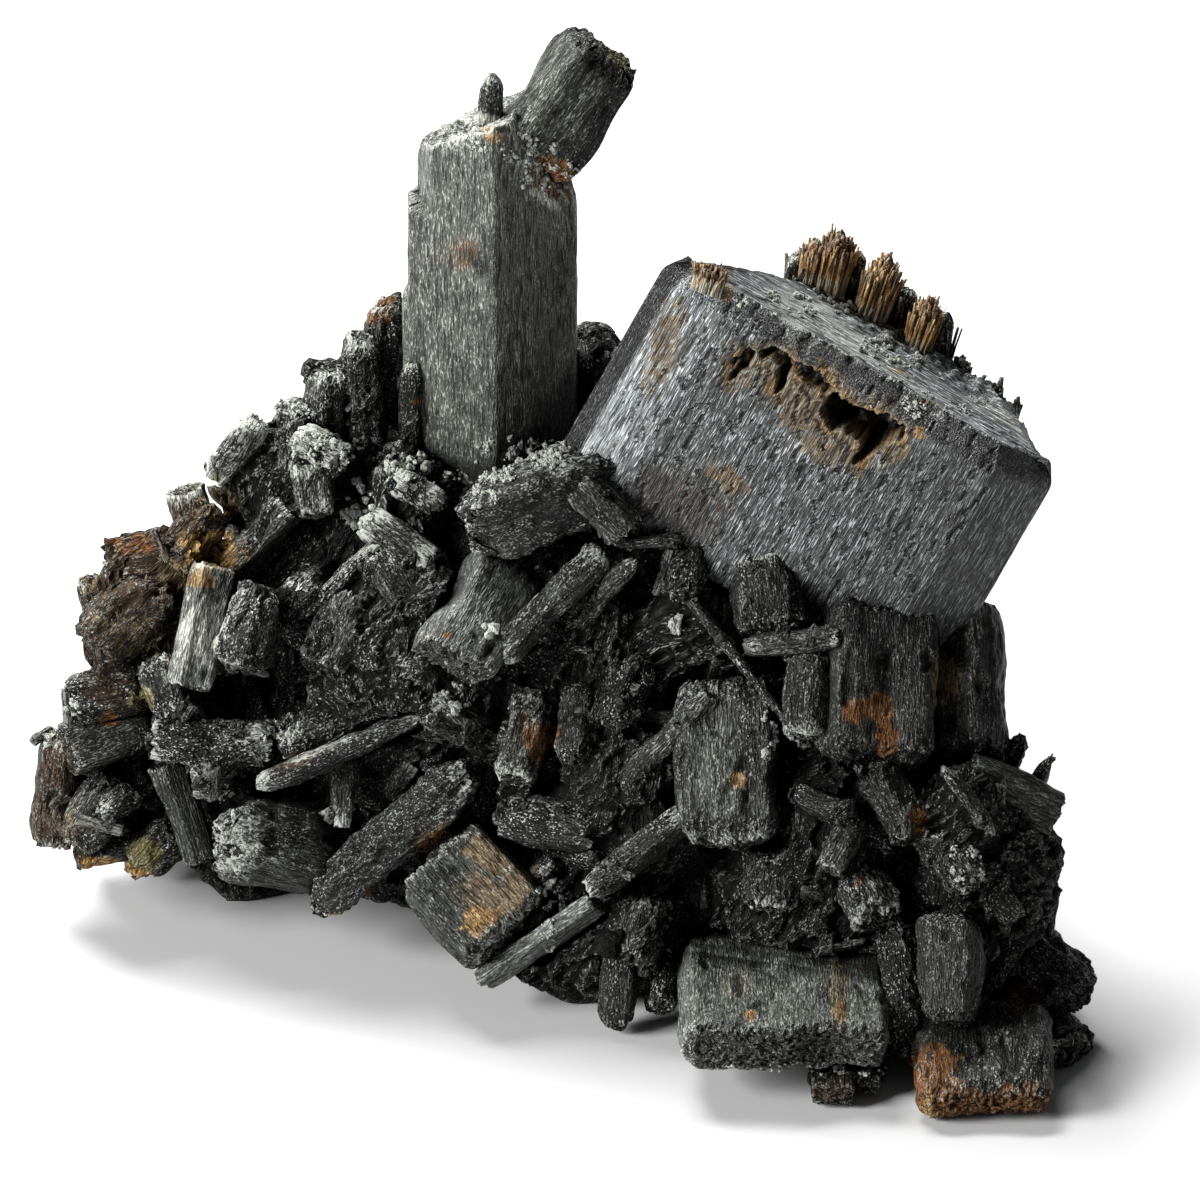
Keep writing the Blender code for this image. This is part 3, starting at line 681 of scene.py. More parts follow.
# Each row: across, up and back of the foot and of the head, then the width, thickness and so on.
FUSED = [Crystal(row[:3], row[3:6], *row[6:]) for row in (
    # Columns behind and left of the tall crystal.
    (-20.2, 44, 21, -20.6, 62.8, 22, 3.8, 5, 10), (-17.6, 44, 24, -17.8, 66.6, 25, 4.4, 5, -10),
    (-24.4, 42, 20, -24, 60.4, 22, 4.2, 5, 20), (-27.6, 40, 18, -27.2, 56.4, 21, 4.4, 5, -15),
    (-15.8, 48, 19, -15.2, 60.6, 19, 2.6, 3.4, 5),
    # Upper left slope.
    (-35.2, 48.8, 19, -30.4, 54.6, 20, 3.6, 3, 10), (-27, 53.2, 17, -21.4, 50.2, 15, 3.6, 3.4, 30),
    (-25.4, 50.4, 16.5, -24.8, 45, 13, 4.6, 4, 0),
    (-33.8, 39.6, 15, -27.4, 46.2, 15, 3.6, 3.4, -15), (-36, 40.6, 17, -38.2, 47.8, 19, 4.2, 4, 10),
    (-19.8, 44.8, 12, -13.2, 40, 8.5, 4.4, 3, 15), (-23.4, 39.4, 15, -27, 37, 7.5, 4.2, 4.2, 0),
    (-27.9, 33.6, 8.5, -18, 42.8, 11, 1.6, 4, 0), (-21, 36.6, 9, -24.4, 29.6, 4.5, 6, 4.6, 20),
    (-19, 40.8, 9, -13.8, 32.8, 4, 4.2, 3.6, -25), (-17.6, 49, 14, -12, 46, 12, 3.6, 3.4, 20),
    (-20.8, 33.4, 6, -18, 29.6, 3, 2.8, 2.6, 30),
    # Left flank.
    (-38, 41, 19, -46.4, 39.6, 18, 7, 7, 20, 0.95, 1.4),
    (-35.4, 45.6, 18, -39.6, 39.8, 13, 5, 5, 30, 1, 1.2),
    (-40.4, 38, 16, -47.6, 31.6, 13, 7.6, 7, 0, 0.95, 1.2),
    (-30, 37.8, 9, -32.4, 29.4, 4, 6, 5.6, 38), (-42, 24.6, 13, -50, 21.4, 9.5, 5.6, 4.4, 10),
    (-41.4, 22.6, 7, -29, 22.2, 4.5, 5, 4.8, 25, 1, 1.2), (-41, 30.6, 11, -39, 24.8, 6, 4.6, 4, 20),
    (-50.4, 23, 13, -51.6, 11.6, 10.5, 5, 5.2, 20, 0.9, 1.1),
    (-45, 18.6, 9, -49.4, 11.8, 6.5, 5.4, 4.6, -10, 0.95, 1),
    (-43.4, 17.4, 8, -46.8, 15, 4.5, 3.2, 3, 30),
    (-38.6, 14.6, 8, -43.8, 9.2, 5.6, 4.6, 4.6, 0, 0.9, 1),
    (-41, 12.4, 8, -49.4, 10.6, 7, 3.6, 3.4, 10, 0.9, 1),
    (-42, 28, 12, -50.4, 26.6, 12, 5.4, 5, 10, 0.95, 1),
    (-33.4, 17, 6, -36.8, 19.8, 3, 3.6, 3.4, 0),
    # Between the flank and the centre.
    (-28.6, 22.4, 4.5, -16.2, 27, 5, 4, 5, 30),
    (-22, 21, 3, -22.3, 14, -0.5, 3.8, 3, 10, 0.45, 0.4),
    (-6.4, 22.4, 2, -13.8, 26, -0.5, 5, 5, -20, 0.95, 1.1),
    (-3, 27, 2, -5.2, 18.4, -4.5, 5, 4.6, 14, 0.95, 0.9),
    (-6.6, 15.6, -3, 3.6, 13.6, -7, 5.2, 5, 18, 0.95, 1),
    (-13, 33, 4, -16.4, 29, 0.5, 4.6, 4, 10, 1, 1.2),
    (0.6, 34.6, 3, 7.4, 40.6, 1.5, 3.2, 2.8, 10, 0.5, 0.4),
    (5.2, 42.4, 5, 12, 42.8, 3.5, 1.6, 3.4, 10), (1.4, 48.4, 6.5, 6.6, 43, 3, 4.4, 4, 20, 1, 1.2),
    (12.6, 42.6, 6, 11.4, 36.4, 0, 4.4, 4, 10, 1, 1.1),
    (11.9, 37.4, 1, 22, 24.6, -7.5, 1.2, 1.6, 10, 0.8, 0.4),
    (18, 32, -1, 27.4, 32.9, -4.5, 2.7, 2.6, 10), (14.4, 27.2, -3.5, 5.6, 17.8, -6.5, 3.2, 3, 20),
    (11.8, 15.2, -9, 2.2, 7.2, -10.5, 3.2, 3.6, 20, 1, 1.1),
    (7.6, 31, 1, 4.6, 24, -4, 4.6, 4.2, -20, 0.95, 1), (2, 28, 1, 1, 20, -5, 4.2, 4, 30, 0.95, 1),
    # Below the big block, and the right flank.
    (20, 41, 4, 21, 33.6, -1.5, 7, 5, 10, 1, 1), (27.6, 40.6, 6, 26, 33, 0, 6.4, 5, -10, 1, 1),
    (25, 31, -2, 24.4, 22.4, -8.5, 5, 5, 30, 1, 1), (22.4, 17.6, -10, 28.8, 15, -13, 3.2, 3, 10),
    (29.2, 15, -11, 26, 9.6, -15, 3.2, 3, 20), (31, 20, -9, 34.6, 12.6, -15.5, 5.2, 5, 20, 0.95, 1),
    (21, 11.4, -9, 20.4, 5.6, -12.5, 6, 4.4, 0, 1, 1),
    (29, 10.4, -10, 31.6, 4.4, -15.5, 5.6, 4.6, -15, 1, 1),
    (37.6, 20, -13, 43, 13, -16.5, 1.7, 3.4, 10), (36.6, 14, -13, 40.6, 8, -18, 5, 4.4, -20, 1, 1),
    (41.6, 27.6, 0, 43, 20.4, -5, 4.2, 4.2, 20, 0.9, 1),
    (43.4, 18, -3, 45.6, 23.2, -3, 3.4, 3, 10, 0.7, 0.6),
    (46, 16, -5, 48.8, 21.2, -5, 2.4, 2, 10, 0.4, 0.4),
    (46, 17, -2, 47.8, 8, -8, 4.4, 4.6, 20, 1, 0.9),
    (43.6, 12.4, -8, 48.8, 8.6, -10.5, 5, 4.6, 0, 1, 0.9),
    (33.4, 4, -14, 34.8, -9.6, -23, 4.6, 5, 28, 1, 1),
    (43.4, -3.6, -12, 51.6, -8.6, -19.5, 6.8, 6, 20, 0.9, 1.2),
    (42.6, -4, -14, 47.4, -9.6, -24, 6, 5, 0, 0.95, 1),
    (8, 6.6, -7, 6, -0.6, -12, 6.4, 6, 20, 0.95, 1.3),
    (10, 0.6, -9, 9.4, -4.8, -13.5, 3.6, 3.4, -10, 0.9, 0.8),
    (27.6, -3.6, -11, 26.6, -12.9, -28.6, 5.4, 3, 6, 0.9, 0.5),
    (31.6, -3.8, -11, 30.4, -11.6, -26.6, 3, 2.4, -6, 0.9, 0.5),
)]
LOOKS = {
    "front_block": Look(1.0, 0.2, 0.06, broken=0.06, soft=0.5, corners=4),
    # Painted shade: the right part is darker, turned from the key light.
    "tilted_crystal": Look(0.6, 0.08, 0.05, right=0.0, split=0.8, soft=2.4, broken=0.05),
    "top_stub": Look(0.12, 0.7, 0.14, soft=2.2, broken=0.4),
    "shield_crystal": Look(0.2, 0.7, 0.12, right=0.45, split=-1.0, soft=3.6, broken=0.3, corners=9),
    "rounded_crystal": Look(0.04, 0.55, 0.34, soft=6.0, broken=0.5),
    "striated_block": Look(0.72, 0.4, 0.08, broken=0.08),
    "diagonal_crystal": Look(0.03, 0.6, 0.42, soft=3.0, broken=0.85),
    "stained_block": Look(0.34, 0.5, 0.1, soft=1.0, broken=0.1, corners=3),
    "under_crystal": Look(0.12, 0.15, 0.12, soft=1.5, broken=0.2, corners=4),
    "flank_crystal": Look(0.08, 0.2, 0.12, right=0.45, split=2.6, soft=1.5, broken=0.25, corners=3),
    "rusty_foot": Look(0.2, 0.3, 0.2, soft=1.2, broken=0.3, corners=4),
    "pillar_crystal": Look(0.06, 0.3, 0.12, soft=1.4, broken=0.15, corners=3),
    "corner_crystal": Look(0.05, 0.3, 0.3, soft=3.6, broken=0.6, corners=6),
    "left_block": Look(0.26, 0.8, 0.12, soft=3.4, broken=0.12, corners=6),
    "pale_slab": Look(1.0, 0.5, 0.1, right=0.9, broken=0.02),
    "flank_slab": Look(0.3, 0.3, 0.1, broken=0.1),
    "long_slab": Look(0.3, 0.8, 0.2, broken=0.5, soft=1.2, corners=3),
    "rust_edged_plate": Look(0.06, 0.9, 0.28, soft=1.0, broken=0.7, corners=3),
    "grey_plate": Look(0.62, 0.1, 0.04, broken=0.03, chip=0.2),
    "striated_bar": Look(0.85, 0.3, 0.06, broken=0.03),
    "foot_crystal": Look(0.06, 0.3, 0.14, soft=2.0, broken=0.3, corners=4),
}
# The grown crystals that are paler, dustier or rougher than the rest, by their place in FUSED.
GROWN_LOOKS = {
    3: Look(0.12, 0.4, 0.3, broken=0.4), 5: Look(0.4, 1.0, 0.3, broken=0.4),
    6: Look(0.3, 1.1, 0.34, soft=1.5, broken=0.5), 7: Look(0.32, 0.6, 0.1), 8: Look(0.4, 0.4, 0.1),
    9: Look(0.45, 0.7, 0.14), 10: Look(0.34, 0.9, 0.14), 11: Look(0.5, 0.8, 0.14, soft=2.0),
    12: Look(0.08, 1.0, 0.3, broken=0.6), 13: Look(0.3, 0.4, 0.1),
    15: Look(0.2, 1.1, 0.34, soft=1.5, broken=0.6), 16: Look(0.5, 0.2, 0.06),
    21: Look(0.62, 0.2, 0.08, broken=0.02), 22: Look(0.1, 0.9, 0.36, broken=0.8),
    32: Look(0.42, 0.9, 0.16), 33: Look(0.5, 0.3, 0.08), 38: Look(0.6, 0.2, 0.06),
    39: Look(0.5, 0.3, 0.08), 42: Look(0.7, 0.9, 0.12), 43: Look(0.55, 0.5, 0.08),
    44: Look(0.2, 0.6, 0.16, broken=0.4), 47: Look(0.1, 0.5, 0.2), 51: Look(0.5, 0.4, 0.08),
    60: Look(0.6, 0.9, 0.16), 67: Look(0.14, 0.2, 0.05, broken=0.04, head_broken=0.4),
    68: Look(0.08, 0.2, 0.05, broken=0.04, head_broken=0.4),
}

FUSED_SEED = 100
BACK_COUNT = 28
BACK_SEED = 11
OWN_STEP = 0.28  # mm between the points of the crystals that are nodes of their own


def hidden_crystals() -> list[Crystal]:
    """The crystals of the back and the flanks: a row that climbs and falls round the pile.

    Returns:
        The crystals, with the same draws as their solids.
    """
    rng = random.Random(BACK_SEED)
    found = []
    for i in range(BACK_COUNT):
        angle = math.radians(-8 + 196 * (i + rng.random()) / BACK_COUNT)
        height = 4 + 42 * ((i * 0.618) % 1)
        out = np.array([math.cos(angle), math.sin(angle) * 0.55, 0])
        middle = np.array([-2, 19, height]) + out * 44 * (1 - height / 90)
        lean = np.array([rng.uniform(-1, 1) for _ in range(3)])
        outwards = unit(out)
        way = unit(outwards * 0.5 + lean + np.array([0, 0, 0.4]))
        length = rng.uniform(9, 17)
        foot = middle - way * length / 2 - outwards * 3
        foot[2] = max(foot[2], 2.6)
        head = foot + way * length
        head[2] = max(head[2], 2.6)
        wide = rng.uniform(4.5, 8.5)
        thick = wide * rng.uniform(0.55, 0.9)
        turn = rng.uniform(0, 180)
        found.append(Crystal(seen_from(foot), seen_from(head), wide, thick, turn))
    return found


def seen_from(point: Array) -> tuple:
    """The (across, up, back) of a place whose second number is measured as `back` is."""
    return point[0], point[2] * math.cos(LEAN) + point[1] * math.sin(LEAN), point[1]


def prism_of(crystal: Crystal, seed: int, look: Look, step: float) -> Prism:
    """The crystal as a surface that can be built.

    Args:
        crystal: Its place and size.
        seed: The seed that its solid was made with.
        look: How it differs from its neighbours.
        step: The spacing of its points in mm.

    Returns:
        The prism, whose broken ends are as uneven as the crystal says.
    """
    foot, axes, length = crystal.stand()
    small = min(1.0, min(crystal.wide, crystal.thick) / 4.5)
    grain = Grain(
        0.24 * small, 0.11, 0.04, look.chip * small, look.knob * max(small, 0.5),
        crystal.ragged, 0.9 * max(small, 0.6), 0.45 * small,
    )
    return Prism(
        crystal.outline(seed), foot, axes, 0.0, length, seed, crystal.taper, step, grain, look,
        -1.0,
    )


class Stain(Enum):
    """The colours that weathering leaves, linear; PITCH and SOOT are painted shade."""

    RUST = (0.22, 0.092, 0.02)
    GOLD = (0.44, 0.27, 0.09)
    OCHRE = (0.26, 0.20, 0.115)
    BROWN = (0.07, 0.042, 0.02)
    MOSS = (0.20, 0.19, 0.08)
    PALE = (0.30, 0.31, 0.27)
    WHITE = (0.60, 0.65, 0.62)
    PITCH = (0.014, 0.009, 0.006)
    SOOT = (0.017, 0.019, 0.018)


@dataclass(frozen=True)
class Spot:
    """An ellipse as seen on the leaning face: its middle and its reach to each side, in mm."""

    across: float
    up: float
    wide: float
    tall: float


@dataclass(frozen=True)
class Patch(Spot):
    """A stained spot, or a spot of painted shade."""

    stain: Stain
    strength: float = 1.0
    turn: float = 0.0  # degrees anticlockwise


RUST, GOLD, OCHRE, BROWN, MOSS, PALE, WHITE, PITCH, SOOT = Stain
PATCHES = [Patch(*row) for row in (
    # The tall crystal.
    (-7.1, 82.8, 1.3, 1.1, GOLD, 1.8), (-1.2, 78.6, 1.9, 2.6, RUST, 1.5, 40),
    (-2, 76.6, 1.6, 0.7, WHITE, 1.3, -30), (-8.6, 84.6, 4.6, 0.8, WHITE, 1.1, -14),
    (-10.1, 71.2, 2, 2, RUST, 0.42), (-15, 56.4, 0.6, 0.5, RUST, 1),
    (5.4, 91, 2.8, 1, MOSS, 1.2, -50), (-19, 66, 2.2, 1.8, RUST, 0.8),
    # The blocky crystal.
    (9.8, 61.4, 1.7, 6.2, OCHRE, 0.72, -19), (14.7, 68.9, 2, 1.1, RUST, 1.6),
    (16, 67.2, 0.8, 0.9, GOLD, 1.6), (20.6, 59.4, 4.2, 1.6, OCHRE, 1, -34),
    (23.6, 56.2, 3.6, 2.6, OCHRE, 1.35, -34), (25.8, 51.6, 3.2, 1.7, OCHRE, 0.75, -20),
    (35.2, 53.2, 0.8, 0.8, GOLD, 1, -24), (33, 50.9, 2.2, 0.6, OCHRE, 0.9, 30),
    (16.4, 48.6, 2.6, 1.3, OCHRE, 1.15, -30), (15.2, 49, 1.2, 0.6, GOLD, 0.8, -20),
    # SOOT: a shaded band under the block's top edge.
    (12, 46.4, 6.4, 3.4, BROWN, 0.42, -30), (28, 60.2, 13, 1.3, SOOT, 0.85, -30),
    (41, 52.9, 6, 0.9, SOOT, 0.7, -30), (27.2, 73, 2.8, 2, RUST, 1.3, -20),
    (24.9, 72.4, 1.6, 1.4, RUST, 1.3), (32.6, 70.6, 1.7, 1.3, RUST, 1.1, -30),
    (36.6, 66.8, 1.6, 1.6, RUST, 1.3, -30), (33.4, 59.4, 0.7, 0.25, GOLD, 1.2, -30),
    (36, 56.3, 0.7, 0.2, GOLD, 1, -10), (30, 61.6, 9, 0.9, WHITE, 0.62, -37),
    (24.6, 64.2, 6, 0.5, WHITE, 0.6, -32), (44, 54.6, 6, 0.6, WHITE, 0.6, -34),
    (37.6, 54.9, 8, 0.6, WHITE, 0.5, -31),
    # The left slope and flank.
    (-43.5, 41, 3.6, 3.4, RUST, 0.75), (-35.6, 41.5, 3.6, 2.8, GOLD, 0.95),
    (-44.6, 33.6, 6, 3.2, OCHRE, 0.42, -10), (-51, 13.4, 2.8, 3.6, OCHRE, 0.42),
    (-47.6, 38.6, 2.2, 2.6, GOLD, 0.45), (-36.4, 38.6, 2, 1, GOLD, 1.5),
    (-36.4, 33.4, 2.5, 4.6, WHITE, 1.25, -14), (-35, 46, 2.6, 2, OCHRE, 0.8),
    (-42.6, 26.8, 1.6, 1.4, MOSS, 1.2), (-45.8, 24.6, 1.2, 0.8, RUST, 0.7),
    (-42.4, 11, 2.2, 2, MOSS, 1.3), (-45.4, 9.6, 4.2, 1.1, GOLD, 1.1, -12),
    (-51, 20, 2.2, 3.4, BROWN, 0.9), (-44, 38.6, 6, 5, BROWN, 0.85),
    (-38.4, 44, 4.6, 4.4, BROWN, 0.8), (-39.4, 39.4, 4.4, 2.4, OCHRE, 0.75),
    (-47.6, 32, 4.4, 3.4, BROWN, 0.6), (-36, 47.6, 2.6, 1.6, MOSS, 0.6),
    (-52.6, 15, 3, 4.6, BROWN, 0.6), (-46, 27.6, 3.4, 2, BROWN, 0.6),
    # The centre.
    (-11.7, 33.1, 0.5, 0.4, RUST, 1.2), (-3, 22.6, 1.4, 2.6, RUST, 0.7, 20),
    (-1.4, 23.2, 0.9, 1.4, RUST, 0.9), (-13.4, 12.6, 2.6, 0.9, RUST, 0.6, 46),
    (-19.6, 7.3, 0.5, 0.5, RUST, 1.2), (-22, 4.4, 3, 0.8, OCHRE, 0.9),
    (-7, 10.6, 3.4, 1.8, OCHRE, 1.4, -30), (-4.8, 7.6, 1.5, 3.2, OCHRE, 1.2, -30),
    (-8.4, 4.6, 2.6, 1.8, GOLD, 0.9, 40), (-8, 7.6, 2.8, 2.6, OCHRE, 0.8),
    (17.3, 18.6, 1.2, 0.8, GOLD, 1.5, 40), (-27, 20.6, 3, 0.8, BROWN, 0.9, 20),
    # The right flank and the front.
    (30.6, 25.7, 2.8, 1.4, RUST, 1.8, 8), (32, 22.6, 1.3, 2.4, RUST, 1.6, 20),
    (38, 28.4, 1.6, 2.7, OCHRE, 1.1), (38, 29.6, 1.2, 1.4, RUST, 0.8),
    (35.2, 14.8, 1, 1.8, RUST, 0.8), (29.4, 8.5, 0.5, 0.5, RUST, 1),
    (18.5, -4.9, 0.6, 0.6, GOLD, 1.6), (27.3, -2.6, 1.3, 3.2, OCHRE, 0.66),
    # PITCH: painted shade in the slit of the front block.
    (17.2, -1.9, 0.55, 1.35, PITCH, 2.6, 6), (26.9, -12.2, 3, 1.6, BROWN, 0.75),
    (27.4, -4.3, 0.7, 1.1, GOLD, 1.7), (17.3, -1.8, 1.3, 1.9, PALE, 0.85),
    (45.6, -3.1, 1, 1.8, RUST, 0.9), (36.8, -11.6, 2.8, 4.2, RUST, 2),
    (41, -14.4, 4.6, 2.6, RUST, 2), (45.4, -14.4, 3.8, 3, RUST, 2),
    (36.2, -13.4, 1, 2.4, GOLD, 2.1), (50, 9.2, 0.7, 0.5, OCHRE, 1.2),
    (50.4, 5, 0.8, 0.8, BROWN, 1.1),
)]


@dataclass(frozen=True)
class DustAndShadeZone(Spot):
    """A spot with an amount: of settled pale dust in DUST_ZONES, of painted shade in SHADE_ZONES."""

    amount: float


DUST_ZONES = [DustAndShadeZone(*row) for row in (
    (-25, 51, 11, 8, 0.75), (-20.5, 46.5, 5, 5, 0.6), (-4, 80, 8, 5, 0.9), (-7.6, 83, 6, 4, 0.7),
    (27, 64, 14, 5, 0.8), (-26.6, 22.6, 5, 3.5, 0.6), (-33, 13.4, 3, 4.5, 0.9),
    (-4, 51.6, 7, 4, 0.45), (-11.4, 25.6, 3, 3, 0.5), (18.6, 28.6, 5, 4, 0.45),
    (-1.6, 3, 6, 3, 0.5), (22, 2, 11, 2, 0.45), (13.5, 67, 6, 4, 0.45), (45, 13.5, 5, 3, 0.35),
)]


# Painted shade: where hardly any light gets in between the crystals, dust and paleness are taken off
# the colour.
SHADE_ZONES = [DustAndShadeZone(*row) for row in (
    (3, 29, 9, 9, 1), (4, 20, 6, 6, 0.9), (24, 35, 15, 5, 0.75), (29, 17, 7, 6, 0.8),
    (-30, 29, 5, 4, 0.8), (-17, 33, 6, 5, 0.5), (-27, 43, 6, 4, 0.5), (-22, 19, 6, 4, 0.7),
    (33, 1, 4, 4, 0.8), (14, 10, 10, 4, 0.6), (-38, 23, 5, 3, 0.7), (2, 46, 6, 3, 0.6),
)]


def shade_on(points: Array) -> Array:
    """How far each point lies in a zone of shade, 0 to 1, with an uneven edge.

    Args:
        points: Places in mm.

    Returns:
        The shade at each point.
    """
    edge = 0.25 * fractal(points / 3.0, 2, 515)
    shade = np.zeros(len(points))
    for spot in SHADE_ZONES:
        shade = np.maximum(shade, spot.amount * ease(spot_share(points, spot) + edge, 0, 0.6))
    return shade


def spot_share(points: Array, spot: Spot, turn: float = 0.0) -> Array:
    """How near points are to a spot's middle: 1 there, 0 at its edge and negative beyond.

    Args:
        points: Places in mm.
        spot: An ellipse on the leaning face.
        turn: Degrees anticlockwise that it is turned by.

    Returns:
        1 less the distance, in the ellipse's own radii.
    """
    across, up = seen(points)
    across, up = across - spot.across, up - spot.up
    turned = math.radians(turn)
    along = across * math.cos(turned) + up * math.sin(turned)
    over = up * math.cos(turned) - across * math.sin(turned)
    return 1 - np.sqrt((along / spot.wide) ** 2 + (over / spot.tall) ** 2)


def stains_on(points: Array, normals: Array) -> Array:
    """The stain at each point, painted shade included: colour and strength.

    Every patch is an ellipse whose edge is pushed in and out by noise; where patches meet, the
    stronger one shows. Only surfaces that face the viewer are marked.

    Args:
        points: Places in mm.
        normals: The ways the surface faces there.

    Returns:
        Red, green, blue and strength, one row a point.
    """
    found = np.zeros((len(points), 4))
    facing = ease(normals @ SIGHT, -0.25, 0.1)
    edge = fractal(points / 1.1, 2, 404) * 0.34
    for patch in PATCHES:
        share = spot_share(points, patch, patch.turn)
        amount = ease(share + edge, -0.12, 0.5) * facing * patch.strength
        stronger = amount > found[:, 3]
        found[stronger, :3] = patch.stain.value
        found[stronger, 3] = amount[stronger]
    return found


def dust_on(points: Array, normals: Array, given: Array) -> Array:
    """How dusty each point is: what it was given, and more on ledges and in dusty zones.

    Args:
        points: Places in mm.
        normals: The ways the surface faces there.
        given: The dust that each point has of its own.

    Returns:
        The dust at each point, from 0 up.
    """
    upward = ease(normals @ unit(np.array([-0.3, 0.1, 1.0])), 0.35, 0.95)
    zone = np.zeros(len(points))
    for spot in DUST_ZONES:
        zone = np.maximum(zone, spot.amount * ease(spot_share(points, spot), -0.2, 0.7))
    cloud = 0.5 + 0.5 * fractal(points / 2.6, 3, 505)
    return given + (0.3 * upward + zone * (0.35 + 0.65 * upward)) * cloud


# ---------------- finishes

Socket = bpy.types.NodeSocket


class Wires:
    """A node tree under construction, with a short call for each kind of node."""

    def __init__(self, tree: bpy.types.NodeTree) -> None:
        """Starts on an empty tree."""
        self.tree = tree

    def node(self, kind: str, **settings: object) -> bpy.types.Node:
        """A new node with these settings.

        Args:
            kind: The node's type.
            **settings: Its properties by name.

        Returns:
            The node.
        """
        made = self.tree.nodes.new(kind)
        for name, value in settings.items():
            setattr(made, name, value)
        return made

    def feed(self, node: bpy.types.Node, socket: str | int, value: object) -> None:
        """Gives an input a value, or a link where the value is a socket.

        Args:
            node: The node.
            socket: The input's name or number.
            value: A number, a tuple or a socket.
        """
        if isinstance(value, Socket):
            self.tree.links.new(value, node.inputs[socket])
        else:
            node.inputs[socket].default_value = value

    def math(self, operation: str, *values: object, clamp: bool = False) -> Socket:
        """The result of a Math node on these numbers or sockets.

        Args:
            operation: Its name in Blender.
            *values: The inputs in order.
            clamp: Whether the result is kept between 0 and 1.

        Returns:
            The result.
        """
        made = self.node("ShaderNodeMath", operation=operation, use_clamp=clamp)
        for i, value in enumerate(values):
            self.feed(made, i, value)
        return made.outputs[0]

    def times(self, first: object, second: object, clamp: bool = False) -> Socket:
        """The product."""
        return self.math("MULTIPLY", first, second, clamp=clamp)

    def line(self, value: object, slope: object, start: object, clamp: bool = False) -> Socket:
        """The value times the slope, plus the start."""
        return self.math("MULTIPLY_ADD", value, slope, start, clamp=clamp)

    def blend(self, share: object, first: object, second: object, kind: str = "MIX") -> Socket:
        """Two colours mixed: all the first at share 0, all the second at share 1.

        Args:
            share: How much of the second.
            first: A colour or a socket.
            second: The other one.
            kind: The blending, by its name in Blender.

        Returns:
            The mixed colour.
        """
        made = self.node("ShaderNodeMix", data_type="RGBA", blend_type=kind, clamp_factor=True)
        self.feed(made, 0, share)
        for socket, colour in ((6, first), (7, second)):
            self.feed(made, socket, (*colour, 1) if isinstance(colour, tuple) else colour)
        return made.outputs[2]

    def stretched(self, vector: Socket, sizes: tuple) -> Socket:
        """The vector divided by these sizes, so that one unit of noise is that big in mm.

        Args:
            vector: Places in mm.
            sizes: Three sizes in mm.

        Returns:
            The places, in these sizes.
        """
        made = self.node("ShaderNodeVectorMath", operation="DIVIDE")
        self.feed(made, 0, vector)
        self.feed(made, 1, sizes)
        return made.outputs[0]

    def noise(self, vector: Socket, detail: float = 2.0, rough: float = 0.5) -> Socket:
        """Noise from 0 to 1, whose coarsest bumps are one unit across.

        Args:
            vector: Where it is read.
            detail: How many finer noises are added.
            rough: How strong they are.

        Returns:
            The noise.
        """
        made = self.node("ShaderNodeTexNoise")
        self.feed(made, "Vector", vector)
        self.feed(made, "Scale", 1.0)
        self.feed(made, "Detail", detail)
        self.feed(made, "Roughness", rough)
        return made.outputs["Fac"]

    def between(self, value: object, low: float, high: float) -> Socket:
        """0 below low, 1 above high, smooth between; turned round where high is the less.

        Args:
            value: What is looked at.
            low: Where 0 ends.
            high: Where 1 begins.

        Returns:
            The share.
        """
        made = self.node("ShaderNodeMapRange", interpolation_type="SMOOTHSTEP", clamp=True)
        self.feed(made, 0, value)
        self.feed(made, 1, low)
        self.feed(made, 2, high)
        return made.outputs[0]

    def attribute(self, name: str, output: str = "Color") -> Socket:
        """What the piece's points carry under this name."""
        made = self.node("ShaderNodeAttribute", attribute_type="GEOMETRY", attribute_name=name)
        return made.outputs[output]


def new_group(name: str, inputs: dict[str, str], outputs: dict[str, str]) -> tuple:
    """An empty shader node group.

    Args:
        name: What it is called.
        inputs: The type of each input socket, such as NodeSocketFloat.
        outputs: The type of each output socket.

    Returns:
        Its wires, its input node and its output node.
    """
    tree = bpy.data.node_groups.new(name, "ShaderNodeTree")
    for in_out, sockets in (("INPUT", inputs), ("OUTPUT", outputs)):
        for socket, kind in sockets.items():
            tree.interface.new_socket(name=socket, in_out=in_out, socket_type=kind)
    wires = Wires(tree)
    return wires, wires.node("NodeGroupInput"), wires.node("NodeGroupOutput")


FLOAT, VECTOR = "NodeSocketFloat", "NodeSocketVector"


# How large the marks of the shaders' noises are, in mm: across, through and along the fibres.
DASH_MARK = (0.16, 0.16, 0.75)
GROOVE_MARK = (0.24, 0.24, 2.2)
GRIT_MARK = (0.17, 0.17, 0.26)
GRIT_CLOUD = (1.3, 1.3, 2.6)
CRUMB_MARK = (0.3, 0.3, 0.6)
MOTTLE_MARK = (2.2, 2.2, 3.4)
# What a colour is multiplied by in each place.
WARM_TINT = (1.06, 1.0, 0.84)
GROOVE_SHADE = (0.12, 0.12, 0.12)
STAIN_LOW = (0.42, 0.38, 0.36)
STAIN_HIGH = (1.5, 1.45, 1.4)
BUMP_DISTANCE = 0.2 * MM


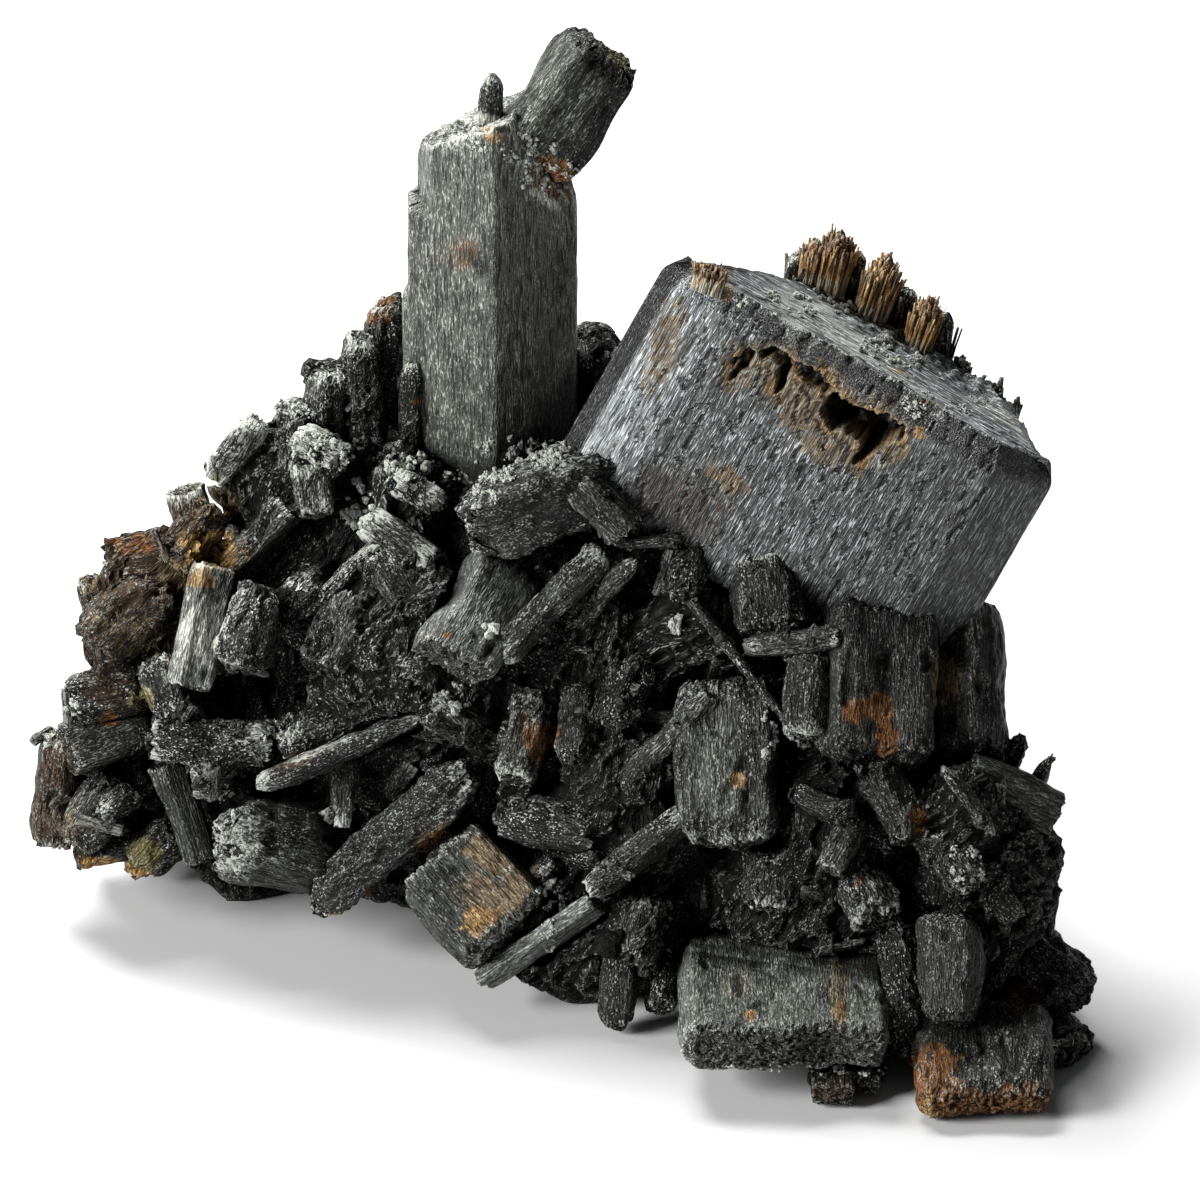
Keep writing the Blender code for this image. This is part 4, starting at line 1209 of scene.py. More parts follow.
def fibre_group() -> bpy.types.NodeTree:
    """Masks and a height of the fibres: noises drawn out along the fibres to different lengths; the
    grooves mask is painted shade in grooves and hollows.

    Returns:
        The group's tree.
    """
    wires, entry, leave = new_group(
        "fibre_marks",
        {"Fibre": VECTOR, "Ridge": FLOAT, "Dust": FLOAT},
        {"Dashes": FLOAT, "Grooves": FLOAT, "Grit": FLOAT, "Worn": FLOAT, "Height": FLOAT},
    )
    fibre = entry.outputs["Fibre"]
    dash = wires.noise(wires.stretched(fibre, DASH_MARK), 1.0, 0.6)
    groove = wires.noise(wires.stretched(fibre, GROOVE_MARK), 2.0, 0.55)
    grit = wires.noise(wires.stretched(fibre, GRIT_MARK), 1.0, 0.5)
    ridge = entry.outputs["Ridge"]
    wires.feed(leave, "Dashes", wires.between(dash, 0.565, 0.63))
    # Painted shade: hollows of the surface, where the ridge attribute is low, join the dark grooves.
    hollow_shade = wires.times(wires.between(ridge, 0.47, 0.36), 0.8)
    wires.feed(leave, "Grooves", wires.math("MAXIMUM", wires.between(groove, 0.49, 0.39), hollow_shade))
    cloud = wires.noise(wires.stretched(fibre, GRIT_CLOUD), 1.0, 0.5)
    likely = wires.line(entry.outputs["Dust"], 0.09, grit)
    likely = wires.line(cloud, 0.22, likely)
    wires.feed(leave, "Grit", wires.between(likely, 0.735, 0.79))
    edge = wires.line(wires.math("SUBTRACT", grit, 0.5), 1.1, ridge)
    wires.feed(leave, "Worn", wires.between(edge, 0.64, 0.76))
    coarse = wires.times(groove, 1.1)
    height = wires.math("ADD", dash, coarse)
    wires.feed(leave, "Height", wires.math("ADD", height, wires.times(grit, 0.4)))
    return wires.tree


def weather_group() -> bpy.types.NodeTree:
    """Breaks up the painted masks of stain and dust by noise, so that their edges are crumbly.

    Returns:
        The group's tree.
    """
    wires, entry, leave = new_group(
        "weathering",
        {"Place": VECTOR, "Stain": FLOAT, "Dust": FLOAT},
        {"Stained": FLOAT, "Dusted": FLOAT, "Mottle": FLOAT},
    )
    crumb = wires.noise(wires.stretched(entry.outputs["Place"], CRUMB_MARK), 3.0, 0.75)
    cloud = wires.noise(wires.stretched(entry.outputs["Place"], MOTTLE_MARK), 3.0, 0.6)
    loose = wires.line(crumb, 3.4, -1.7)
    stain = wires.math("ADD", entry.outputs["Stain"], loose)
    dust = wires.math("ADD", entry.outputs["Dust"], wires.times(crumb, 2.0))
    wires.feed(leave, "Stained", wires.between(stain, 0.05, 0.85))
    wires.feed(leave, "Dusted", wires.between(dust, 1.4, 1.75))
    wires.feed(leave, "Mottle", wires.between(cloud, 0.3, 0.7))
    return wires.tree


@dataclass(frozen=True)
class MineralFinish:
    """Fibrous mineral: dark fibres, painted glints on them, stains and dust, all linear colours."""

    name: str
    dark: tuple = (0.0045, 0.005, 0.0045)
    light: tuple = (0.075, 0.083, 0.072)
    # The glint colour and strength: painted highlights, the glints of the fibres laid into the
    # colour; `rarity` is the power of paleness that they go by.
    glint: tuple = (0.30, 0.315, 0.285)
    glint_strength: float = 1.0
    dust: tuple = (0.43, 0.445, 0.40)
    gloss: float = 0.38
    dull: float = 0.7
    specular: float = 0.36
    bump: float = 1.0
    rarity: float = 2.0  # the power of paleness that the flecks go by

    def material(self) -> bpy.types.Material:
        """The finish as a material: its masks come from the two groups and the piece's points.

        Returns:
            The new material.
        """
        made = bpy.data.materials.new(self.name)
        made.use_nodes = True
        wires = Wires(made.node_tree)
        shader = made.node_tree.nodes["Principled BSDF"]
        fibre = wires.attribute("fibre", "Vector")
        wear = wires.node("ShaderNodeSeparateColor")
        wires.feed(wear, 0, wires.attribute("wear"))
        ended, dusted, pale = wear.outputs[:3]
        marks = wires.node("ShaderNodeGroup", node_tree=bpy.data.node_groups["fibre_marks"])
        wires.feed(marks, "Fibre", fibre)
        wires.feed(marks, "Ridge", wires.attribute("wear", "Alpha"))
        wires.feed(marks, "Dust", dusted)
        weather = wires.node("ShaderNodeGroup", node_tree=bpy.data.node_groups["weathering"])
        wires.feed(weather, "Place", fibre)
        wires.feed(weather, "Stain", wires.attribute("stain", "Alpha"))
        wires.feed(weather, "Dust", dusted)
        dashes, grooves, grit, worn, height = (
            marks.outputs[name] for name in ("Dashes", "Grooves", "Grit", "Worn", "Height")
        )
        stained, dust = weather.outputs["Stained"], weather.outputs["Dusted"]
        mottled = wires.line(weather.outputs["Mottle"], 0.7, 0.65)
        paleness = wires.times(pale, mottled, clamp=True)
        side = wires.blend(paleness, self.dark, self.light)
        tint = wires.times(weather.outputs["Mottle"], 0.6)
        side = wires.blend(tint, side, WARM_TINT, "MULTIPLY")
        body = wires.blend(wires.times(ended, 0.93), side, self.dark)
        on_side = wires.math("SUBTRACT", 1.0, wires.times(ended, 0.85))
        # Painted highlights: glints on the dashes of the sides, stronger on paler fibres, and glints
        # on the broken ends.
        rare = wires.math("POWER", paleness, self.rarity)
        glinted = wires.line(rare, 1.6 * self.glint_strength, 0.02)
        glinted = wires.times(wires.times(dashes, glinted), on_side)
        end_glints = wires.times(grit, wires.line(ended, 0.72, 0.12))
        glinted = wires.math("MAXIMUM", glinted, end_glints)
        body = wires.blend(glinted, body, self.glint)
        hue = wires.blend(
            wires.line(dashes, 0.55, wires.times(grit, 0.25)), STAIN_LOW, STAIN_HIGH
        )
        hue = wires.blend(1.0, wires.attribute("stain"), hue, "MULTIPLY")
        body = wires.blend(wires.times(stained, 0.93), body, hue)
        edging = wires.line(dusted, 0.75, 0.15, clamp=True)
        edging = wires.times(edging, wires.line(ended, -0.6, 1.0))
        body = wires.blend(wires.times(worn, edging), body, self.dust)
        body = wires.blend(wires.times(dust, 0.75), body, self.dust)
        # Painted shade: grooves and hollows multiplied dark.
        body = wires.blend(wires.times(grooves, 0.85), body, GROOVE_SHADE, "MULTIPLY")
        wires.feed(shader, "Base Color", body)
        rough = wires.line(grooves, self.dull - self.gloss, self.gloss)
        rough = wires.line(dust, 0.3, rough)
        rough = wires.line(stained, 0.25, rough)
        wires.feed(shader, "Roughness", wires.math("MINIMUM", rough, 0.92))
        shader.inputs["Specular IOR Level"].default_value = self.specular
        bump = wires.node("ShaderNodeBump")
        bump.inputs["Strength"].default_value = self.bump
        bump.inputs["Distance"].default_value = BUMP_DISTANCE
        wires.feed(bump, "Height", height)
        wires.feed(shader, "Normal", bump.outputs["Normal"])
        return made


GREY_GREEN = MineralFinish("grey_green_amphibole")
DARK_GREEN = MineralFinish("dark_green_amphibole", light=(0.052, 0.058, 0.048), specular=0.2)
BLUE_GREY = MineralFinish(
    "blue_grey_amphibole", light=(0.30, 0.335, 0.345), glint=(0.60, 0.63, 0.66), glint_strength=1.35,
    dust=(0.40, 0.415, 0.38), rarity=0.55,
)
BLACK = MineralFinish(
    "black_amphibole", dark=(0.0042, 0.0044, 0.004), light=(0.032, 0.035, 0.030),
    glint=(0.46, 0.47, 0.43), glint_strength=0.8, gloss=0.42, dull=0.75, specular=0.14,
)
RUSTY = MineralFinish(
    "rusty_fibres", dark=(0.05, 0.022, 0.007), light=(0.46, 0.22, 0.055),
    glint=(0.62, 0.42, 0.16), dust=(0.36, 0.34, 0.26), gloss=0.6, dull=0.85,
)
MATRIX = MineralFinish(
    "matrix_amphibole", dark=(0.0038, 0.004, 0.0036), light=(0.018, 0.020, 0.017),
    glint=(0.26, 0.27, 0.24), glint_strength=0.5, gloss=0.5, dull=0.8, specular=0.1,
)
CRUMBLY = MineralFinish(
    "pale_crumbs", dark=(0.10, 0.105, 0.095), light=(0.50, 0.52, 0.47),
    glint=(0.70, 0.72, 0.66), dust=(0.60, 0.62, 0.56), gloss=0.6, dull=0.85,
)


# ---------------- pieces


def read(items: object, key: str, width: int, kind: type = np.float32) -> Array:
    """One property of all items, such as the vertices, as rows of this many numbers.

    Args:
        items: The vertices, the loops or a layer's data.
        key: The property's name.
        width: How many numbers an item has.
        kind: Their type.

    Returns:
        One row an item.
    """
    values = np.empty(len(items) * width, kind)
    items.foreach_get(key, values)
    return values.reshape(-1, width)


def new_object(name: str, data: bpy.types.ID) -> bpy.types.Object:
    """A new object in the scene.

    Args:
        name: What it is called.
        data: Its mesh, light or camera.

    Returns:
        The object, linked to the scene.
    """
    obj = bpy.data.objects.new(name, data)
    bpy.context.scene.collection.objects.link(obj)
    return obj


def mesh_of(shell: Shell, name: str) -> bpy.types.Mesh:
    """The surface as a Blender mesh, in metres, with what its points wear.

    Args:
        shell: The surface, in mm.
        name: What the mesh is called.

    Returns:
        The mesh, flat where the surface is broken.
    """
    mesh = bpy.data.meshes.new(name)
    loops = np.concatenate([shell.quads.ravel(), shell.triangles.ravel()])
    starts = np.concatenate([
        np.arange(len(shell.quads)) * 4,
        len(shell.quads) * 4 + np.arange(len(shell.triangles)) * 3,
    ])
    mesh.vertices.add(len(shell.points))
    mesh.vertices.foreach_set("co", (shell.points * MM).astype(np.float32).ravel())
    mesh.loops.add(len(loops))
    mesh.loops.foreach_set("vertex_index", loops.astype(np.int32))
    mesh.polygons.add(len(starts))
    mesh.polygons.foreach_set("loop_start", starts.astype(np.int32))
    broken = shell.wear[:, 0] > 0.5
    on_end = np.concatenate([
        broken[shell.quads].mean(axis=1) > 0.6, broken[shell.triangles].mean(axis=1) > 0.6
    ])
    mesh.update(calc_edges=True)
    mesh.polygons.foreach_set("use_smooth", ~(on_end | shell.flat))
    return mesh


def ridges_of(shell: Shell, normals: Array) -> Array:
    """How far each point stands over its neighbours, as a share of how far off they are.

    For every edge, the height of one end over the other, along its own normal, is added up and
    divided by the sum of the edges' lengths: above 0 on ridges, below 0 in grooves.

    Args:
        shell: The surface.
        normals: The ways the surface faces there.

    Returns:
        One number a point.
    """
    pairs = [shell.quads[:, [i, (i + 1) % 4]] for i in range(4)]
    pairs += [shell.triangles[:, [i, (i + 1) % 3]] for i in range(3)]
    ends = np.concatenate(pairs)
    here = np.concatenate([ends[:, 0], ends[:, 1]])
    there = np.concatenate([ends[:, 1], ends[:, 0]])
    away = shell.points[here] - shell.points[there]
    over = np.bincount(here, np.sum(away * normals[here], axis=1), len(shell.points))
    far = np.bincount(here, np.linalg.norm(away, axis=1), len(shell.points))
    return over / np.maximum(far, 1e-9)


def wear_on(mesh: bpy.types.Mesh, shell: Shell) -> Array:
    """Writes the attributes that the finishes read: fibre, stain and wear.

    Args:
        mesh: The surface as a mesh.
        shell: The surface.

    Returns:
        The ways the surface faces at its points.
    """
    normals = read(mesh.vertices, "normal", 3).astype(float)
    ridge = np.clip(0.5 + ridges_of(shell, normals), 0, 1)
    wear = np.concatenate([shell.wear, ridge[:, None]], axis=1)
    wear[:, 1] = dust_on(shell.points, normals, wear[:, 1])
    # Painted shade: less dust and paleness in the shade zones.
    wear[:, 1:3] *= 1 - 0.8 * shade_on(shell.points)[:, None]
    for name, kind, key, values in (
        ("fibre", "FLOAT_VECTOR", "vector", shell.fibre),
        ("stain", "FLOAT_COLOR", "color", stains_on(shell.points, normals)),
        ("wear", "FLOAT_COLOR", "color", wear),
    ):
        layer = mesh.attributes.new(name, kind, "POINT")
        layer.data.foreach_set(key, values.astype(np.float32).ravel())
    return normals


VIEW_COLUMNS = 4096  # more than there are cells across the view


@dataclass
class Skin:
    """Points of the finished surfaces and the ways they face there, which loose grains lie on."""

    names: list[str] = field(default_factory=list)
    points: list[Array] = field(default_factory=list)
    normals: list[Array] = field(default_factory=list)

    def in_view(self, cell: float = 0.5, depth: float = 0.5) -> tuple[Array, Array]:
        """The points that show from the front: the nearest ones in each cell of the view.

        Args:
            cell: The side of a cell in mm.
            depth: How far behind the nearest point of its cell a point may lie.

        Returns:
            The points and the ways the surface faces there.
        """
        points, normals = np.concatenate(self.points), np.concatenate(self.normals)
        across, up = seen(points)
        column = np.round(across / cell).astype(np.int64)
        row = np.round(up / cell).astype(np.int64)
        key = (row - row.min()) * VIEW_COLUMNS + column - column.min()
        nearness = points @ SIGHT
        nearest = np.full(key.max() + 1, -np.inf)
        np.maximum.at(nearest, key, nearness)
        shows = (nearness > nearest[key] - depth) & (normals @ SIGHT > 0.15)
        return points[shows], normals[shows]


SKIN = Skin()
# These pieces get no painted shade in recesses: they keep their dust and paleness wherever they lie.
OPEN_PIECES = ("rusty_tufts", "pale_crumbs")  # what keeps its dust wherever it lies
OPEN_WAYS = unit(np.array([
    SIGHT, [0, 0, 1], [-1, -0.3, 0.3], [1, -0.3, 0.3], [0, 1, 0.3], [-0.8, 0.8, 0.3],
    [0.8, 0.8, 0.3], [-0.6, -0.8, 0.1], [0.6, -0.8, 0.1],
]))


@dataclass
class Recesses:
    """Tells how deep places lie between the parts that stand out round them, and paints shade into
    them.
    """

    cell: float = 1.0  # mm
    reach: int = 3  # cells round a place that its neighbours may stand in
    cells: int = 220  # rows and columns of the grid
    middle: int = 100  # the row and the column that the origin lies in
    empty: float = -999.0  # what a cell without any surface holds
    most: float = 30.0  # mm, more than any depth
    turned_away: float = 6.0  # mm that surfaces facing away from the open count as deeper
    # Painted shade begins to take dust and paleness off at `shallow` and leaves hardly any at
    # `deep`.
    shallow: float = 0.5  # mm deep, where dust and paleness begin to go
    deep: float = 3.2  # mm deep, where hardly any is left

    def grid(self, points: Array, way: Array) -> tuple[Array, ...]:
        """Places in a grid square on to a way, and how far along it they are.

        Args:
            points: Places in mm.
            way: The direction, one long.

        Returns:
            The row, the column and the distance of each place.
        """
        side = unit(np.cross([0.13, 0.21, 1.0], way))
        column = np.round(points @ side / self.cell).astype(int) + self.middle
        row = np.round(points @ np.cross(way, side) / self.cell).astype(int) + self.middle
        last = self.cells - 1
        return np.clip(row, 0, last), np.clip(column, 0, last), points @ way

    def outer(self, skin: Array, way: Array) -> Array:
        """How far along a way the surfaces round each cell stand: a grid of numbers.

        The nearest of the surfaces is kept for each cell, spread over the cells round it, and
        averaged.

        Args:
            skin: Points of all the surfaces.
            way: The direction, one long.

        Returns:
            The grid.
        """
        row, column, near = self.grid(skin, way)
        nearest = np.full((self.cells, self.cells), self.empty)
        np.maximum.at(nearest, (row, column), near)
        around = range(-self.reach, self.reach + 1)
        shifts = [(i, j) for i in around for j in around if math.hypot(i, j) <= self.reach]
        turned = [np.roll(nearest, shift, (0, 1)) for shift in shifts]
        filled = np.where(nearest > self.empty, nearest, np.max(turned, axis=0))
        return np.mean([np.maximum(layer, filled) for layer in turned], axis=0)

    def depths(
        self, outer: list[Array], points: Array, normals: Array
    ) -> Array:
        """How deep points lie, in mm: the least that is found from any of the open ways.

        Args:
            outer: How far the surfaces stand out, for each of the open ways.
            points: The points that are asked about.
            normals: The ways that the surface faces there.

        Returns:
            The depths: how far each point lies behind what stands round it.
        """
        found = np.full(len(points), self.most)
        for way, spread in zip(OPEN_WAYS, outer):
            row, column, near = self.grid(points, way)
            away = ease(-(normals @ way), -0.15, 0.2)
            depth = spread[row, column] - near + self.turned_away * away
            found = np.minimum(found, np.maximum(depth, 0))
        return found

    def paint_shade(self, made: list[bpy.types.Object]) -> None:
        """Paints shade into what lies deep: takes its dust and paleness off and darkens its hollows.

        Args:
            made: The pieces, in the order that they were made in.
        """
        skin = np.concatenate(SKIN.points)
        outer = [self.outer(skin, way) for way in OPEN_WAYS]
        for obj, points, normals in zip(made, SKIN.points, SKIN.normals):
            if obj.name in OPEN_PIECES:
                continue
            layer = obj.data.attributes["wear"].data
            wear = read(layer, "color", 4)
            shade_share = ease(self.depths(outer, points, normals), self.shallow, self.deep)
            # Painted shade: dust, paleness and ridges go down with depth.
            wear[:, 1] *= 1 - 0.9 * shade_share
            wear[:, 2] *= 1 - 0.85 * shade_share
            wear[:, 3] = 0.5 + (wear[:, 3] - 0.5) * (1 - 0.6 * shade_share) - 0.06 * shade_share
            layer.foreach_set("color", wear.ravel())
            obj.data.update()


@dataclass(frozen=True)
class CrumbZone(Spot):
    """Where loose grains cling."""

    count: int
    size: float = 0.14


CRUMB_ZONES = [CrumbZone(*row) for row in (
    (-5.6, 81.6, 5, 1.6, 260), (-1.6, 79.6, 3.2, 3.4, 200), (-11, 83.6, 2.4, 0.8, 90),
    (24, 66.2, 8, 1.6, 420), (33, 61.2, 4, 3, 260), (-28, 56, 3.4, 2, 260),
    (-24, 51.6, 4.6, 1.8, 320), (-20.8, 46.2, 1.8, 2.6, 420, 0.2), (-15.6, 50, 2.4, 1.4, 300, 0.19),
    (-4.4, 51.2, 5.6, 1.8, 700), (-8.4, 47.4, 2.2, 2.6, 160), (-34, 14.6, 1.4, 4.2, 260),
    (-28, 22.6, 2.2, 2.6, 160), (-11, 26.6, 1.4, 1.8, 240, 0.17), (-7.7, 33.5, 0.6, 0.6, 40, 0.3),
    (11.6, 34, 1, 1, 60, 0.24), (-1.8, 5.8, 1.2, 5, 200), (22.4, -10.3, 10.5, 0.7, 600, 0.1),
    (12.6, -7.4, 1.2, 2.6, 90, 0.1), (20.4, 23.4, 1, 3.2, 120), (-50, 27, 2, 3, 60),
    (40, 10, 2, 3, 90, 0.14), (-9, 48.6, 4.4, 1.6, 260), (36, 56, 7, 1.4, 300, 0.1),
)]
GOLDEN = (1 + math.sqrt(5)) / 2
BALL = unit(np.array([
    (-1, GOLDEN, 0), (1, GOLDEN, 0), (-1, -GOLDEN, 0), (1, -GOLDEN, 0),
    (0, -1, GOLDEN), (0, 1, GOLDEN), (0, -1, -GOLDEN), (0, 1, -GOLDEN),
    (GOLDEN, 0, -1), (GOLDEN, 0, 1), (-GOLDEN, 0, -1), (-GOLDEN, 0, 1),
]))
BALL_FACES = np.array([
    (0, 11, 5), (0, 5, 1), (0, 1, 7), (0, 7, 10), (0, 10, 11), (1, 5, 9), (5, 11, 4),
    (11, 10, 2), (10, 7, 6), (7, 1, 8), (3, 9, 4), (3, 4, 2), (3, 2, 6), (3, 6, 8),
    (3, 8, 9), (4, 9, 5), (2, 4, 11), (6, 2, 10), (8, 6, 7), (9, 8, 1),
])


@dataclass
class Crumbs:
    """Pale grains that cling to rims and ledges: small uneven twenty-faced lumps."""

    seed: int = 31

    def build(self, finish: bpy.types.Material) -> None:
        """Makes the piece, on the points that show from the front.

        Args:
            finish: Its material.
        """
        rng = np.random.default_rng(self.seed)
        points, normals = SKIN.in_view()
        picked, sizes = [], []
        for zone in CRUMB_ZONES:
            share = spot_share(points, zone)
            chance = np.clip(share, 0, 1) ** 0.7 * (0.3 + np.clip(normals[:, 2], 0, 1))
            clump = ease(fractal(points / 1.1, 2, 611), -0.1, 0.6)
            chance = chance * clump
            if chance.sum() <= 0:
                continue
            picked.append(rng.choice(len(points), zone.count, p=chance / chance.sum()))
            sizes.append(np.full(zone.count, zone.size))
        spot = np.concatenate(picked)
        size = np.concatenate(sizes) * rng.gamma(4.0, 0.25, len(spot))
        lump = BALL * rng.uniform(0.6, 1.25, (len(spot), len(BALL), 1))
        lump = lump * rng.uniform(0.7, 1.3, (len(spot), 1, 3)) * size[:, None, None]
        at = points[spot] + normals[spot] * (size * rng.uniform(-0.2, 0.7, len(spot)))[:, None]
        placed = (lump + at[:, None]).reshape(-1, 3)
        each = np.arange(len(spot))[:, None, None] * len(BALL)
        wear = np.zeros((len(placed), 3))
        wear[:, 1] = np.repeat(rng.uniform(0.3, 1.3, len(spot)), len(BALL))
        wear[:, 2] = 0.8
        faces = (BALL_FACES[None] + each).reshape(-1, 3)
        shell = Shell(placed, NO_QUADS, faces, placed * 3, wear, True)
        add_piece("pale_crumbs", [shell], finish, MASS)


def add_piece(
    name: str, shells: list[Shell], finish: bpy.types.Material, stands_for: str
) -> bpy.types.Object:
    """Makes one piece of the object and hangs it on the body.

    Args:
        name: What the piece is called.
        shells: Its surfaces.
        finish: Its material.
        stands_for: The solid that it replaces, which is hidden.

    Returns:
        The new object.
    """
    shell = Shell.joined(shells)
    shell.points[:, 2] = np.maximum(shell.points[:, 2], 0)
    mesh = mesh_of(shell, name)
    SKIN.names.append(name)
    SKIN.points.append(shell.points)
    SKIN.normals.append(wear_on(mesh, shell))
    mesh.materials.append(finish)
    obj = new_object(name, mesh)
    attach(obj, "root")
    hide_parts(stands_for)
    LOG.info("%s: %d triangles", name, shell.size)
    return obj


# ---------------- the tall crystal


@dataclass
class TallPrism(Prism):
    """The upright crystal: its head follows sloping planes, and layers have left its left side."""

    tops: tuple = ()
    ledges: tuple = ()

    def head_level(self, flat: Array) -> Array:
        """The lowest of the planes over each point.

        Args:
            flat: Points of the section, in mm.

        Returns:
            The level of the head over each point, in mm.
        """
        level = np.full(flat.shape[:-1], self.high)
        for point, normal in self.tops:
            slope = (flat[..., 0] - point[0]) * normal[0] + (flat[..., 1] - point[1]) * normal[1]
            level = np.minimum(level, point[2] - slope / normal[2])
        return level

    def carve(self, flat: Array, level: Array) -> Array:
        """Ledges: above each one the left side lies further in, over a short uneven slope.

        Args:
            flat: Points of the section, in mm.
            level: Their levels along the fibres, in mm.

        Returns:
            How far each point stands out, in mm.
        """
        wave = smooth_noise(at_level(flat, level) / 1.8, self.seed + 41)
        cut = np.zeros(level.shape)
        for edge, at in self.ledges:
            over = np.clip(edge - flat[..., 0], 0, None) * ease(level + wave, at, at + 1.6)
            cut = np.maximum(cut, over)
        return -cut


@dataclass
class TallCrystal:
    """The upright crystal that stands out of the pile, with its two small companions."""

    axis: tuple = (-7.5, 20.0)
    outline: tuple = ((-8.7, 3.0), (-8.7, -0.8), (0.5, -6.0), (8.7, -1.4), (8.7, 2.5), (-0.5, 6.5))
    foot: float = 38.0
    head: float = 93.0
    tops: tuple = (
        ((-6.5, 14.0, 89.6), (0.87, -0.1, 0.49)), ((-12.6, 19.2, 84.4), (-0.40, 0.2, 0.89)),
    )
    ledges: tuple = ((-13.4, 76.2), (-15.6, 64.5))
    seed: int = 700
    step: float = 0.27

    def build(self, finish: bpy.types.Material) -> None:
        """Makes the piece.

        Args:
            finish: Its material.
        """
        x, y = self.axis
        tops = tuple(((p[0] - x, p[1] - y, p[2]), n) for p, n in self.tops)
        ledges = tuple((edge - x, level) for edge, level in self.ledges)
        prism = TallPrism(
            np.array(self.outline), np.array([x, y - CENTRE_BACK, 0.0]), np.eye(3), self.foot,
            self.head, self.seed, 1.0, self.step,
            Grain(layer=0.1, groove=0.08, dash=0.03, chip=0.2, knob=0.03, ragged=0.75),
            # Painted shade: the right side, turned from the key light, is darker.
            Look(0.72, 0.5, right=0.46, split=0.5, broken=0.02, head_broken=0.5),
            tops=tops, ledges=ledges,
        )
        add_piece("tall_crystal_fibres", [prism.shell()], finish, "tall_crystal")


# ---------------- the blocky crystal

BLOCK_FOOT = (19.5, 41.1, 2.0)
BLOCK_AXIS = unit(np.array([0.46, 0.07, 0.884]))
BLOCK_ACROSS = unit(np.array([0.866, -0.25, -0.433]))
BLOCK_AXES = np.stack([BLOCK_ACROSS, unit(np.cross(BLOCK_AXIS, BLOCK_ACROSS)), BLOCK_AXIS])


def inside_of(corners: Array, x: Array, y: Array) -> Array:
    """How far points lie inside a polygon: the distance to its nearest edge, negative outside.

    Args:
        corners: The polygon, one corner a row.
        x: The points' first coordinates.
        y: Their second ones.

    Returns:
        The signed distance, in the polygon's units.
    """
    gap = np.full(x.shape, np.inf)
    inside = np.zeros(x.shape, bool)
    for (ax, ay), (bx, by) in zip(corners, np.roll(corners, -1, axis=0)):
        run = max((bx - ax) ** 2 + (by - ay) ** 2, 1e-9)
        share = np.clip(((x - ax) * (bx - ax) + (y - ay) * (by - ay)) / run, 0, 1)
        gap = np.minimum(gap, np.hypot(x - ax - share * (bx - ax), y - ay - share * (by - ay)))
        crosses = (ay > y) != (by > y)
        at = ax + (y - ay) * (bx - ax) / (by - ay if by != ay else 1e-9)
        inside ^= crosses & (x < at)
    return np.where(inside, gap, -gap)


